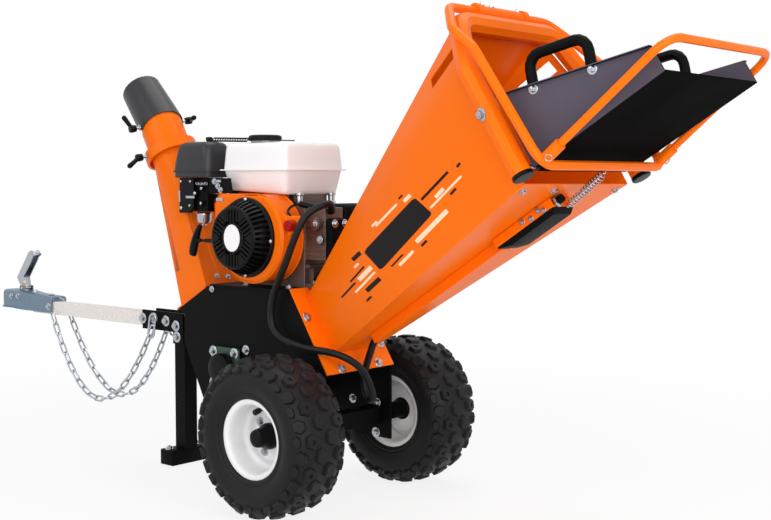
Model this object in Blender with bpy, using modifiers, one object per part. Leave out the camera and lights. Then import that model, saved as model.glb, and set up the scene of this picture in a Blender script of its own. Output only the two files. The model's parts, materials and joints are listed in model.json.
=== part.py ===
"""A towed wood chipper: wheeled chassis, drum chamber, engine, feed hopper and discharge spout.

Metres, +Z up. +X points to the feed mouth, -X to the tow coupling. The origin is the middle of the
stand foot's underside, on the ground.
"""

from math import acos, atan2, cos, pi, radians, sin

import bmesh
import bpy
from mathutils import Matrix, Vector

OBJECT_NAME = "wood_chipper"

# Fits
GAP = 0.0003
RUNNING_GAP = 0.0006

# Wheels and axle
AXLE_X = 0.56
TRACK = 0.455
TYRE_RADIUS = 0.1775
TYRE_WIDTH = 0.145
TYRE_WALL = 0.008
TREAD_WALL = 0.014
TREAD_FLAT = 0.104
SHOULDER_DROP = 0.02
BEAD_RADIUS = 0.0765
RIM_WIDTH = 0.112
RIM_RADIUS = 0.088
RIM_SHEET = 0.004
DISH_DEPTH = 0.064
DISH_STEP = 0.016
HUB_RADIUS = 0.034
HUB_LENGTH = 0.06
HUB_NOSE = 0.006
AXLE_RADIUS = 0.015
AXLE_BEAM = 0.04
HUB_CAP_RADIUS = 0.028
HUB_CAP_END = 0.013
HUB_CAP_LENGTH = 0.046
HUB_CAP_WALL = 0.034

# Stand and drawbar
STAND_TUBE = 0.04
FOOT_LENGTH = 0.119
FOOT_WIDTH = 0.05
LEG_X = 0.01
LEG_TOP = 0.384
BEAM_Z = 0.366
DRAWBAR_TUBE = 0.036
DRAWBAR_WALL = 0.003
DRAWBAR_LENGTH = 0.64
BRACKET_PLATE = 0.005
BRACKET_LENGTH = 0.165
BRACKET_HEIGHT = 0.05
BRACKET_DROP = 0.03

# Tow coupling
COUPLING_LENGTH = 0.285
COUPLING_SLEEVE = 0.13
COUPLING_WALL = 0.004
COUPLING_NOSE_WIDTH = 0.066
COUPLING_NOSE_RISE = 0.016
LEVER_PIVOT_BACK = 0.19
LEVER_WIDTH = 0.018
LEVER_THICK = 0.01
LEVER_BEND = 0.03
LEVER_LENGTH = 0.115
LEVER_EAR = 0.004
LEVER_EAR_LENGTH = 0.026
LEVER_PIN = 0.004

# Chipping chamber
CHAMBER_WIDTH = 0.22
PLATE = 0.005
SHELL = 0.004
DECK_Z = 0.484
DECK_PLATE = 0.005
DECK_LEFT = 0.237
CHAMBER_FRONT_X = 0.144
CHAMBER_KNEE_Z = 0.335
CHAMBER_BOTTOM_Z = 0.165
AXLE_LOBE = 0.055
AXLE_LOBE_DROP = 0.052
DRUM_X = 0.30
DRUM_Z = 0.29
DRUM_RADIUS = 0.086
DRUM_WIDTH = 0.2
SHAFT_RADIUS = 0.015
KNIFE_REACH = 0.006
KNIFE_WIDTH = 0.05
KNIFE_THICK = 0.009
WRAP_RADIUS = 0.112
ANVIL_WIDTH = 0.03
ANVIL_THICK = 0.012
ANVIL_OVERHANG = 0.009
WRAP_START = radians(-28)
BEARING_FLANGE = 0.098
BEARING_PLATE = 0.012
BEARING_BOSS = 0.034
BEARING_LENGTH = 0.027

# Belt drive
CRANK_X = 0.38
CRANK_RISE = 0.116
CRANK_Z = DECK_Z + CRANK_RISE
CRANK_RADIUS = 0.0125
DRIVEN_RADIUS = 0.07
DRIVE_RADIUS = 0.042
BELT_WIDTH = 0.013
BELT_THICK = 0.006
BELT_SLACK = 0.0012
PULLEY_FLANGE = 0.004
PULLEY_RIM = 0.008
BELT_Y = 0.16
GUARD_MARGIN = 0.024
GUARD_DEPTH = 0.082
GUARD_SHEET = 0.002

# Engine
CASE_LEFT = 0.30
CASE_RIGHT = 0.50
CASE_FRONT = -0.058
CASE_BACK = 0.09
CASE_CROWN = 0.075
CASE_TOP = CRANK_Z + CASE_CROWN
CASE_FOOT = 0.02
CASE_FOOT_THICK = 0.014
HEAD_REACH = 0.062
HEAD_DROP = 0.05
HEAD_LOW = CRANK_Z - HEAD_DROP
HEAD_BACK = 0.005
FAN_RADIUS = 0.105
FAN_BULGE = 0.012
FAN_LEFT = 0.115
FAN_HIGH = 0.099
FAN_FRONT = -0.125
FAN_SHEET = 0.003
FAN_EYE = 0.084
FLYWHEEL_RADIUS = 0.078
FLYWHEEL_THICK = 0.022
FLYWHEEL_FRONT = -0.112
RECOIL_RADIUS = 0.0925
RECOIL_FACE = 0.0725
RECOIL_DEPTH = 0.046
RECOIL_WALL = 0.0025
ROPE_RADIUS = 0.0022
ROPE_DROP = 0.01
ROPE_Y = -0.15
ROPE_STORED = 0.8
GRIP_X = 0.232
GRIP_LENGTH = 0.078
GRIP_RADIUS = 0.0105
GRIP_LEAN = radians(22)
TANK_LEFT = 0.2474
TANK_RIGHT = 0.464
TANK_FRONT = -0.082
TANK_BACK = 0.115
TANK_RISE = 0.102
TANK_LOWER_HALF = 0.054
TANK_UPPER_HALF = 0.064
TANK_BOTTOM = CRANK_Z + TANK_RISE
TANK_SEAM = TANK_BOTTOM + TANK_LOWER_HALF
TANK_TOP = TANK_SEAM + TANK_UPPER_HALF
TANK_SEAM_RIM = 0.006
CAP_X = 0.338
CAP_Y = -0.025
CAP_RADIUS = 0.04
CAP_HEIGHT = 0.019
FILTER_LEFT = 0.094
FILTER_RIGHT = 0.221
FILTER_FRONT = -0.107
FILTER_BACK = -0.02
FILTER_RISE = 0.138
FILTER_HEIGHT = 0.087
FILTER_BOTTOM = CRANK_Z + FILTER_RISE
FILTER_TOP = FILTER_BOTTOM + FILTER_HEIGHT
CARB_LEFT = 0.118
CARB_RIGHT = 0.205
CARB_FRONT = -0.098
CARB_BACK = -0.03
CARB_RISE = 0.0495
CARB_BOTTOM = CRANK_Z + CARB_RISE
BOWL_RADIUS = 0.018
BOWL_DROP = 0.029
INTAKE_RADIUS = 0.018
MUFFLER_LENGTH = 0.066
MUFFLER_FRONT = 0.012
MUFFLER_BACK = 0.105
MUFFLER_DROP = 0.033
MUFFLER_RISE = 0.078
MUFFLER_LOW = CRANK_Z - MUFFLER_DROP
MUFFLER_HIGH = CRANK_Z + MUFFLER_RISE
SWITCH_X = 0.5135
SWITCH_FRONT = -0.1046
SWITCH_PAD = 0.022
SWITCH_PAD_ROOT = 0.035
SWITCH_PAD_THICK = 0.015
SWITCH_RISE = 0.03
SWITCH_Z = CRANK_Z + SWITCH_RISE
SWITCH_RADIUS = 0.013
SWITCH_LENGTH = 0.022

# Discharge chute, in its own frame: s along its axis from the chamber, v across it
CHUTE_X = 0.169
CHUTE_Z = 0.4437
CHUTE_TILT = radians(30)
CHUTE_LENGTH = 0.424
CHUTE_BASE_SPAN = 0.108
CHUTE_SHEET = 0.0025
CHUTE_RADIUS = 0.0545
CHUTE_FLANGE = 0.004
CHUTE_FLANGE_RIM = 0.006
CHUTE_NECK = 0.05
CHUTE_LIP = 0.0075
CHUTE_LIP_THICK = 0.006
COLLAR_RADIUS = 0.069
COLLAR_HEIGHT = 0.03
SPOUT_RADIUS = 0.0545
SPOUT_HINGE = 0.075
SPOUT_TURN = radians(18.5)
SPOUT_HOOD = 0.034
CLAMP_BOLT = 0.004
DEFLECTOR_GAP = 0.0009
DEFLECTOR_END_RADIUS = 0.052
DEFLECTOR_SKIRT = 0.01
DEFLECTOR_MOST_TILT = radians(50)
DEFLECTOR_LENGTH = 0.132
DEFLECTOR_TILT = radians(15.5)
CLAMP_HUB = 0.008
CLAMP_STANDOFF = 0.028
CLAMP_ARM = 0.038
LEFT_ARM_LEAN = 0.3
RIGHT_ARM_DROP = 0.34
COLLAR_ARM_DROP = 0.6

# Hopper, in its own frame: d along its axis from the throat flange, h up across it
THROAT_X = 0.593
THROAT_Z = 0.345
HOPPER_TILT = radians(32.5)
HOPPER_LENGTH = 0.733
HOPPER_SHEET = 0.0025
HOPPER_FLOOR = -0.004
THROAT_FLOOR_HALF = 0.068
MOUTH_FLOOR_HALF = 0.186
THROAT_HALF = 0.074
THROAT_FOLD = 0.136
THROAT_TOP = 0.156
THROAT_TOP_HALF = 0.052
MOUTH_HALF = 0.205
MOUTH_FOLD = 0.25
MOUTH_TOP = 0.36
MOUTH_TOP_HALF = 0.15
FLANGE_HALF = 0.112
FLANGE_LOW = -0.052
FLANGE_HIGH = 0.166
FLANGE_PLATE = 0.004
SLOT_LENGTH = 0.085
SLOT_WIDTH = 0.028
SLOT_FROM_MOUTH = 0.1
MOUTH_TUBE = 0.021
MOUTH_TUBE_HALF = 0.213
MOUTH_TUBE_LOW = 0.0
MOUTH_TUBE_BEND = 0.235
MOUTH_TUBE_TOP = 0.354
MOUTH_TUBE_TOP_HALF = 0.163
MOUTH_BEND_RADIUS = 0.045
SLEEVE_RADIUS = 0.0135
SLEEVE_HALF = 0.085

# Safety bar and feed hoop
BAR_RADIUS = 0.0095
BAR_HALF = 0.222
BAR_TOP_HALF = 0.168
BAR_KNEE = 0.26
BAR_KNEE_OUT = 0.038
BAR_SHOULDER = 0.318
BAR_SHOULDER_OUT = 0.016
BAR_LOW = -0.008
BAR_LOW_OUT = 0.05
BAR_BEND = 0.035
HOOP_RADIUS = 0.008
HOOP_HALF = 0.207
HOOP_END_HALF = 0.201
HOOP_REACH = 0.315
HOOP_RISE = 0.044
HOOP_BEND = 0.04
HOOP_START = 0.012
SOCKET_WALL = 0.0035
SOCKET_LENGTH = 0.036

# Feed tray, in its own frame: s along its floor from the hinge pin, h up from the floor
TRAY_PIN_OUT = 0.004
TRAY_PIN_UP = 0.02
TRAY_PIN_RADIUS = 0.005
TRAY_TILT = radians(31.5)
TRAY_LENGTH = 0.316
TRAY_HALF = 0.18
TRAY_LIP = 0.009
TRAY_SHEET = 0.0025
WING_BACK = 0.152
WING_FRONT = 0.045
EYE_WALL = 0.0035
EYE_HALF = 0.16
HANDLE_RADIUS = 0.011
HANDLE_FEET = (0.08, 0.2)
HANDLE_RISE = 0.053
HANDLE_INSET = 0.004
HANDLE_BEND = 0.026

# Stop switch under the hopper
SWITCH_BOX_FROM_MOUTH = 0.233
SWITCH_BOX_START = HOPPER_LENGTH - SWITCH_BOX_FROM_MOUTH
SWITCH_BOX_LENGTH = 0.166
SWITCH_BOX_WIDTH = 0.075
SWITCH_BOX_DEPTH = 0.032
SWITCH_BOX_Y = -0.008
CHANNEL_START = 0.088
CHANNEL_WIDTH = 0.028
CHANNEL_DEPTH = 0.022
SPRING_RADIUS = 0.009
SPRING_SEAT_H = -0.03

# Cords
CHAIN_RADIUS = 0.009
CONDUIT_RADIUS = 0.0075
CHAIN_SPREAD = 0.008
CHAIN_NEAR_SPAN = (-0.534, -0.079)
CHAIN_FAR_SPAN = (-0.543, -0.099)
CHAIN_TOP = 0.352
CHAIN_SAG = 0.216
CHAIN_STEPS = 32
CONDUIT_ROUTE = (
    (0.580, -0.038, 0.662), (0.596, -0.080, 0.680), (0.573, -0.121, 0.658), (0.557, -0.139, 0.617),
    (0.525, -0.142, 0.550), (0.474, -0.135, 0.462), (0.477, -0.133, 0.394), (0.556, -0.131, 0.363),
    (0.642, -0.098, 0.349), (0.670, -0.050, 0.312), (0.674, -0.018, 0.252), (0.656, -0.009, 0.238),
    (0.638, -0.006, 0.262), (0.638, -0.006, 0.300),
)

# Roundness
ROUND_STEPS = 24
FINE_STEPS = 32
WHEEL_STEPS = 28
SMALL_STEPS = 16
LOFT_POINTS = 20
FILLET_STEPS = 4
TUBE_SIDES = 2
CORD_SIDES = 2

UP = Vector((0, 0, 1))
ALONG_Y = Vector((0, 1, 0))


def clear_scene():
    for old in list(bpy.data.objects):
        bpy.data.objects.remove(old, do_unlink=True)


def make_collection(name):
    made = bpy.data.collections.new(name)
    bpy.context.scene.collection.children.link(made)
    return made


clear_scene()
PARTS = make_collection(OBJECT_NAME)
CUTTERS = make_collection(OBJECT_NAME + "_cutters")


def linear(channel):
    return channel / 12.92 if channel <= 0.04045 else ((channel + 0.055) / 1.055) ** 2.4


def finish_of(name, colour, roughness, metallic=0.0):
    """A Principled material with an sRGB hex colour."""
    made = bpy.data.materials.new(name)
    made.use_nodes = True
    shader = made.node_tree.nodes["Principled BSDF"]
    red, green, blue = (linear(int(colour[i : i + 2], 16) / 255) for i in (0, 2, 4))
    shader.inputs["Base Color"].default_value = (red, green, blue, 1)
    shader.inputs["Roughness"].default_value = roughness
    shader.inputs["Metallic"].default_value = metallic
    return made


ORANGE = ("F07818", 0.35)
BLACK = ("1B1B1D", 0.45)
WHITE = ("ECE9E6", 0.35)
ZINC = ("A9B2B8", 0.35, 1.0)
STEEL = ("8C8C8C", 0.4, 1.0)
RUBBER = ("202022", 0.8)
ALLOY = ("8E8780", 0.5, 1.0)
GREEN = ("1F5B3A", 0.5)
RED = ("B5161B", 0.35)


def keep(obj, finish, pivot=None):
    """Gives the piece its material, collection and, where it moves, its pivot."""
    obj.data.materials.clear()
    obj.data.materials.append(finish_of(obj.name + "_finish", *finish))
    PARTS.objects.link(obj)
    if obj.type == "MESH":
        obj.data.set_sharp_from_angle(angle=radians(35))
    if pivot is not None:
        obj.parent = pivot
        obj.matrix_parent_inverse = Matrix.Translation(-pivot.location)
    return obj


def pivot_at(name, place):
    empty = bpy.data.objects.new(name, None)
    empty.location = place
    PARTS.objects.link(empty)
    return empty


def mesh_object(name, bm):
    bmesh.ops.recalc_face_normals(bm, faces=bm.faces)
    mesh = bpy.data.meshes.new(name)
    bm.to_mesh(mesh)
    bm.free()
    return bpy.data.objects.new(name, mesh)


def helper(obj):
    """Marks a piece that only cuts or joins another."""
    obj.hide_render = True
    obj.display_type = "WIRE"
    CUTTERS.objects.link(obj)
    return obj


def boolean(obj, other, operation):
    modifier = obj.modifiers.new(operation.lower(), "BOOLEAN")
    modifier.operation = operation
    modifier.solver = "EXACT"
    modifier.object = helper(other)
    return obj


def cut(obj, *others):
    for other in others:
        boolean(obj, other, "DIFFERENCE")
    return obj


def join(obj, *others):
    for other in others:
        boolean(obj, other, "UNION")
    return obj


def bevelled(obj, width, segments=2):
    modifier = obj.modifiers.new("bevel", "BEVEL")
    modifier.width = width
    modifier.segments = segments
    modifier.limit_method = "ANGLE"
    return obj


def box(name, low, high):
    low, high = Vector(low), Vector(high)
    bm = bmesh.new()
    bmesh.ops.create_cube(bm, size=1)
    bmesh.ops.scale(bm, vec=high - low, verts=bm.verts)
    bmesh.ops.translate(bm, vec=(low + high) / 2, verts=bm.verts)
    return mesh_object(name, bm)


def framed_box(name, frame, low, high):
    """A box whose sides follow a frame's axes."""
    made = box(name, low, high)
    made.data.transform(frame)
    return made


def frame_on(origin, along, across):
    """A matrix whose X is along, Y is across and Z completes them."""
    along = Vector(along).normalized()
    across = Vector(across).normalized()
    over = along.cross(across)
    rows = Matrix((along, across, over)).transposed().to_4x4()
    return Matrix.Translation(origin) @ rows


def rod(name, start, end, radius, end_radius=None, steps=SMALL_STEPS):
    start, end = Vector(start), Vector(end)
    bm = bmesh.new()
    turn = UP.rotation_difference(end - start).to_matrix().to_4x4()
    bmesh.ops.create_cone(
        bm,
        cap_ends=True,
        segments=steps,
        radius1=radius,
        radius2=radius if end_radius is None else end_radius,
        depth=(end - start).length,
        matrix=Matrix.Translation((start + end) / 2) @ turn,
    )
    return mesh_object(name, bm)


def wound(loop, sign):
    """The loop, run anticlockwise for a positive sign."""
    area = sum(a[0] * b[1] - b[0] * a[1] for a, b in zip(loop, loop[1:] + loop[:1]))
    return loop if area * sign > 0 else loop[::-1]


def plate(name, outline, y_low, y_high, holes=()):
    """A flat outline in X and Z, with holes, made thick along Y."""
    curve = bpy.data.curves.new(name, "CURVE")
    curve.dimensions = "2D"
    curve.fill_mode = "BOTH"
    curve.extrude = (y_high - y_low) / 2
    for loop in (wound(outline, 1), *(wound(hole, -1) for hole in holes)):
        spline = curve.splines.new("POLY")
        spline.points.add(len(loop) - 1)
        for point, (x, z) in zip(spline.points, loop):
            point.co = (x, z, 0, 1)
        spline.use_cyclic_u = True
    made = bpy.data.objects.new(name, curve)
    made.location = (0, (y_low + y_high) / 2, 0)
    made.rotation_euler = (pi / 2, 0, 0)
    return made


def as_mesh(obj):
    """The curve as a mesh with welded caps, which a Boolean can take."""
    graph = bpy.context.evaluated_depsgraph_get()
    bpy.context.scene.collection.objects.link(obj)
    graph.update()
    mesh = bpy.data.meshes.new_from_object(obj.evaluated_get(graph))
    bm = bmesh.new()
    bm.from_mesh(mesh)
    bmesh.ops.remove_doubles(bm, verts=bm.verts, dist=GAP / 10)
    bmesh.ops.recalc_face_normals(bm, faces=bm.faces)
    bm.to_mesh(mesh)
    bm.free()
    name, placed = obj.name, obj.matrix_world.copy()
    bpy.data.objects.remove(obj, do_unlink=True)
    made = bpy.data.objects.new(name, mesh)
    made.matrix_world = placed
    return made


def circle(x, z, radius, steps=ROUND_STEPS):
    return [(x + radius * cos(2 * pi * i / steps), z + radius * sin(2 * pi * i / steps)) for i in range(steps)]


def turned(name, profile, origin, axis, steps=ROUND_STEPS):
    """A profile of (radius, height) pairs turned about an axis through the origin given."""
    profile = wound(profile, -1)
    bm = bmesh.new()
    points = [bm.verts.new((radius, 0, height)) for radius, height in profile]
    on_axis = [radius < GAP for radius, height in profile]
    for i, point in enumerate(points):
        after = (i + 1) % len(points)
        if not (on_axis[i] and on_axis[after]):
            bm.edges.new((point, points[after]))
    mesh = bpy.data.meshes.new(name)
    bm.to_mesh(mesh)
    bm.free()
    made = bpy.data.objects.new(name, mesh)
    screw = made.modifiers.new("turn", "SCREW")
    screw.steps = steps
    screw.render_steps = steps
    screw.use_merge_vertices = True
    screw.merge_threshold = GAP / 10
    screw.use_normal_calculate = False
    made.matrix_world = Matrix.Translation(origin) @ UP.rotation_difference(Vector(axis)).to_matrix().to_4x4()
    return made


def loft(name, rings, closed):
    """Faces between rings of points. A closed loft joins the last ring to the first, an open one has caps."""
    bm = bmesh.new()
    rows = [[bm.verts.new(point) for point in ring] for ring in rings]
    for row, after in zip(rows, rows[1:] + rows[:1] if closed else rows[1:]):
        for i in range(len(row)):
            j = (i + 1) % len(row)
            bm.faces.new((row[i], row[j], after[j], after[i]))
    if not closed:
        bm.faces.new(rows[0])
        bm.faces.new(rows[-1])
    return mesh_object(name, bm)


def tube(name, points, radius, sides=TUBE_SIDES, cyclic=False):
    curve = bpy.data.curves.new(name, "CURVE")
    curve.dimensions = "3D"
    curve.fill_mode = "FULL"
    curve.bevel_depth = radius
    curve.bevel_resolution = sides
    curve.use_fill_caps = True
    spline = curve.splines.new("POLY")
    spline.points.add(len(points) - 1)
    for made, point in zip(spline.points, points):
        made.co = (*point, 1)
    spline.use_cyclic_u = cyclic
    return bpy.data.objects.new(name, curve)


def rounded(points, radius, cyclic=False):
    """The path with its corners replaced by arcs."""
    points = [Vector(point) for point in points]
    path = []
    for i, corner in enumerate(points):
        if not cyclic and i in (0, len(points) - 1):
            path.append(corner)
            continue
        before = (points[i - 1] - corner).normalized()
        after = (points[(i + 1) % len(points)] - corner).normalized()
        half = acos(max(-1.0, min(1.0, before.dot(after)))) / 2
        centre = corner + (before + after).normalized() * radius / sin(half)
        first = corner + before * radius * cos(half) / sin(half) - centre
        last = corner + after * radius * cos(half) / sin(half) - centre
        sweep = pi - 2 * half
        for step in range(FILLET_STEPS + 1):
            angle = sweep * step / FILLET_STEPS
            path.append(centre + (first * sin(sweep - angle) + last * sin(angle)) / sin(sweep))
    return path


def smooth_route(points, spacing):
    """Points read at even steps from a smooth curve through the route's own points."""
    points = [Vector(point) for point in points]
    points = [2 * points[0] - points[1], *points, 2 * points[-1] - points[-2]]
    fine = []
    parts = 12
    for a, b, c, d in zip(points, points[1:], points[2:], points[3:]):
        for i in range(parts):
            t = i / parts
            fine.append(0.5 * (2 * b + t * (c - a) + t * t * (2 * a - 5 * b + 4 * c - d)
                               + t ** 3 * (3 * b - a - 3 * c + d)))
    fine.append(points[-2])
    route, run = [fine[0]], 0.0
    for a, b in zip(fine, fine[1:]):
        run += (b - a).length
        if run >= spacing:
            route.append(b)
            run = 0.0
    route[-1] = fine[-1]
    return route


def hopper(d, y, h):
    """A point d along the hopper's axis from its flange, y across it and h up across it."""
    return Vector((THROAT_X + d * cos(HOPPER_TILT) - h * sin(HOPPER_TILT), y,
                   THROAT_Z + d * sin(HOPPER_TILT) + h * cos(HOPPER_TILT)))


def mouth(out, y, h):
    return hopper(HOPPER_LENGTH + out, y, h)


def chute(s, y, v):
    """A point s along the chute's axis from its base, y across it and v across it to +X."""
    return Vector((CHUTE_X - s * sin(CHUTE_TILT) + v * cos(CHUTE_TILT), y,
                   CHUTE_Z + s * cos(CHUTE_TILT) + v * sin(CHUTE_TILT)))


def tray(s, y, h):
    """A point s along the tray floor from the hinge pin, y across it and h up from it."""
    pin = mouth(TRAY_PIN_OUT, 0, TRAY_PIN_UP)
    return Vector((pin.x + s * cos(TRAY_TILT) - h * sin(TRAY_TILT), y,
                   pin.z + s * sin(TRAY_TILT) + h * cos(TRAY_TILT)))


HOPPER_AXIS = hopper(1, 0, 0) - hopper(0, 0, 0)
HOPPER_UP = hopper(0, 0, 1) - hopper(0, 0, 0)
CHUTE_AXIS = chute(1, 0, 0) - chute(0, 0, 0)
CHUTE_ACROSS = chute(0, 0, 1) - chute(0, 0, 0)
PLATE_INNER = CHAMBER_WIDTH / 2
PLATE_OUTER = PLATE_INNER + PLATE
SIDES = (("near", -1), ("far", 1))


def xz(point):
    return point.x, point.z


# Wheels


def tyre(side, sign, pivot):
    half, flat = TYRE_WIDTH / 2, TREAD_FLAT / 2
    shoulder = TYRE_RADIUS - SHOULDER_DROP
    belly = (shoulder + BEAD_RADIUS) / 2
    bead = RIM_WIDTH / 2 - 2 * RIM_SHEET - GAP
    outer = [(BEAD_RADIUS + GAP, bead), (RIM_RADIUS + RIM_SHEET, bead + RIM_SHEET), (belly, half),
             (shoulder, half - TYRE_WALL / 4), (TYRE_RADIUS, flat)]
    inner = [(TYRE_RADIUS - TREAD_WALL, flat - TYRE_WALL), (belly, half - TYRE_WALL),
             (BEAD_RADIUS + GAP, bead - TYRE_WALL)]
    profile = outer + [(radius, -along) for radius, along in outer[::-1]]
    profile += [(radius, -along) for radius, along in inner[::-1]] + inner
    made = turned("tyre_" + side, profile, pivot.location, ALONG_Y, WHEEL_STEPS)
    return keep(made, RUBBER, pivot)


def hub_nose():
    """How far the wheel hub's outer end is from the wheel's middle plane."""
    return RIM_WIDTH / 2 - DISH_DEPTH + HUB_NOSE


def rim(side, sign, pivot):
    """Outward is +height in the profile, away from the chassis."""
    half = RIM_WIDTH / 2
    lip = BEAD_RADIUS - RIM_SHEET
    dish = half - DISH_DEPTH
    step = half - DISH_STEP
    well = lip - DISH_STEP
    bore = AXLE_RADIUS + GAP
    profile = [
        (bore, hub_nose()), (HUB_RADIUS, hub_nose()), (HUB_RADIUS, dish), (well, dish), (well, step), (lip, step),
        (lip, half - RIM_SHEET), (RIM_RADIUS, half), (RIM_RADIUS, half - RIM_SHEET),
        (BEAD_RADIUS, half - 2 * RIM_SHEET), (BEAD_RADIUS, -half + 2 * RIM_SHEET),
        (RIM_RADIUS, -half + RIM_SHEET), (RIM_RADIUS, -half), (lip, -half + RIM_SHEET),
        (lip, step - RIM_SHEET), (well + RIM_SHEET, step - RIM_SHEET), (well + RIM_SHEET, dish - RIM_SHEET),
        (HUB_RADIUS, dish - RIM_SHEET), (HUB_RADIUS, hub_nose() - HUB_LENGTH), (bore, hub_nose() - HUB_LENGTH),
    ]
    return keep(turned("rim_" + side, profile, pivot.location, sign * ALONG_Y, WHEEL_STEPS), WHITE, pivot)


def axle_end():
    return TRACK / 2 + hub_nose() + HUB_CAP_LENGTH - HUB_CAP_WALL


def hub_cap(side, sign, pivot):
    start = hub_nose() + GAP
    seat = axle_end() - TRACK / 2 + GAP
    bore = AXLE_RADIUS + GAP
    bell = HUB_CAP_RADIUS - HUB_CAP_END
    profile = [(0, seat), (0, start + HUB_CAP_LENGTH), (HUB_CAP_END, start + HUB_CAP_LENGTH),
               (HUB_CAP_END + bell / 3, start + HUB_CAP_LENGTH * 0.7),
               (HUB_CAP_RADIUS - bell / 8, start + HUB_CAP_LENGTH / 3),
               (HUB_CAP_RADIUS, start), (bore, start), (bore, seat)]
    return keep(turned("hub_cap_" + side, profile, pivot.location, sign * ALONG_Y, SMALL_STEPS), BLACK, pivot)


def wheels():
    for side, sign in SIDES:
        pivot = pivot_at("wheel_" + side + "_axis", (AXLE_X, sign * TRACK / 2, TYRE_RADIUS))
        tyre(side, sign, pivot)
        rim(side, sign, pivot)
        hub_cap(side, sign, pivot)


# Chassis


def axle():
    half = AXLE_BEAM / 2
    end = PLATE_INNER - GAP
    beam = box("axle", (AXLE_X - half, -end, TYRE_RADIUS - half), (AXLE_X + half, end, TYRE_RADIUS + half))
    stub = rod("axle_stubs", (AXLE_X, -axle_end(), TYRE_RADIUS), (AXLE_X, axle_end(), TYRE_RADIUS), AXLE_RADIUS)
    keep(join(beam, stub), BLACK)


def plate_outline():
    base = CHUTE_BASE_SPAN / 2 + CHUTE_FLANGE_RIM
    left = chute(-GAP, 0, -base)
    right = chute(-GAP, 0, base)
    top = DECK_Z - DECK_PLATE - GAP
    rise = (top - THROAT_Z + GAP * sin(HOPPER_TILT)) / cos(HOPPER_TILT)
    lobe_right = AXLE_X + AXLE_LOBE
    lobe_low = TYRE_RADIUS - AXLE_LOBE_DROP
    lobe_left = AXLE_X - AXLE_LOBE
    low = hopper(-GAP, 0, FLANGE_LOW)
    return [
        xz(left), xz(right), (right.x + (top - right.z), top), xz(hopper(-GAP, 0, rise)), xz(low),
        (lobe_right, low.z - GAP), (lobe_right, lobe_low), (lobe_left, lobe_low),
        (lobe_left - AXLE_LOBE, TYRE_RADIUS), (DRUM_X, CHAMBER_BOTTOM_Z),
        (DRUM_X - DRUM_RADIUS - SHELL, DRUM_Z - DRUM_RADIUS + SHELL),
        (CHAMBER_FRONT_X, CHAMBER_KNEE_Z), (CHAMBER_FRONT_X, left.z - CHUTE_FLANGE_RIM),
    ]


def side_plates():
    for side, sign in SIDES:
        low, high = sorted((sign * PLATE_INNER, sign * PLATE_OUTER))
        holes = (circle(DRUM_X, DRUM_Z, SHAFT_RADIUS + PLATE), circle(AXLE_X, TYRE_RADIUS, AXLE_RADIUS + GAP))
        keep(plate(side + "_side_plate", plate_outline(), low, high, holes), BLACK)


def wrap_path():
    """The chamber's bent floor, from the throat round under the drum and up to the chute."""
    start = hopper(-GAP - SHELL, 0, HOPPER_FLOOR - SHELL)
    turns = 14
    first, last = WRAP_START, -pi
    path = [xz(start)]
    for i in range(turns + 1):
        angle = first + (last - first) * i / turns
        path.append((DRUM_X + WRAP_RADIUS * cos(angle), DRUM_Z + WRAP_RADIUS * sin(angle)))
    path.append((CHAMBER_FRONT_X + 3 * PLATE, LEG_TOP + 2 * PLATE))
    path.append(xz(chute(-SHELL, 0, -CHUTE_BASE_SPAN / 2)))
    return path


def chamber_shell():
    bm = bmesh.new()
    half = PLATE_INNER - GAP
    rows = [[bm.verts.new((x, y, z)) for x, z in wrap_path()] for y in (-half, half)]
    for a, b, c, d in zip(rows[0], rows[0][1:], rows[1], rows[1][1:]):
        bm.faces.new((a, b, d, c))
    made = mesh_object("chamber_shell", bm)
    wall = made.modifiers.new("wall", "SOLIDIFY")
    wall.thickness = SHELL
    wall.offset = 0
    wall.use_even_offset = True
    keep(made, BLACK)


def engine_deck():
    right = xz(hopper(-GAP, 0, FLANGE_HIGH))[0] - DECK_PLATE
    keep(box("engine_deck", (DECK_LEFT, -PLATE_OUTER, DECK_Z - DECK_PLATE), (right, PLATE_OUTER, DECK_Z)), BLACK)


def stand():
    half = STAND_TUBE / 2
    foot = box("stand_foot", (-FOOT_WIDTH / 2, -FOOT_LENGTH / 2, 0),
               (FOOT_WIDTH / 2, FOOT_LENGTH / 2, STAND_TUBE))
    keep(bevelled(foot, STAND_TUBE / 12), BLACK)
    leg = box("stand_leg", (LEG_X - half, -half, STAND_TUBE + GAP), (LEG_X + half, half, LEG_TOP))
    front = CHAMBER_FRONT_X + GAP
    inner = PLATE_INNER - GAP
    beam = box("stand_beam", (LEG_X, -half, LEG_TOP - STAND_TUBE), (front + PLATE / 2, half, LEG_TOP))
    end = box("stand_end_plate", (front, -inner, CHAMBER_KNEE_Z + PLATE), (front + PLATE, inner, LEG_TOP + PLATE))
    keep(join(leg, beam, end), BLACK)


def drawbar():
    half, bore = DRAWBAR_TUBE / 2, DRAWBAR_TUBE / 2 - DRAWBAR_WALL
    back = LEG_X - STAND_TUBE / 2 - GAP
    made = box("drawbar", (back - DRAWBAR_LENGTH, -half, BEAM_Z - half), (back, half, BEAM_Z + half))
    hollow = box("drawbar_bore", (back - DRAWBAR_LENGTH - bore, -bore, BEAM_Z - bore),
                 (back + bore, bore, BEAM_Z + bore))
    keep(cut(made, hollow), WHITE)


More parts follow.
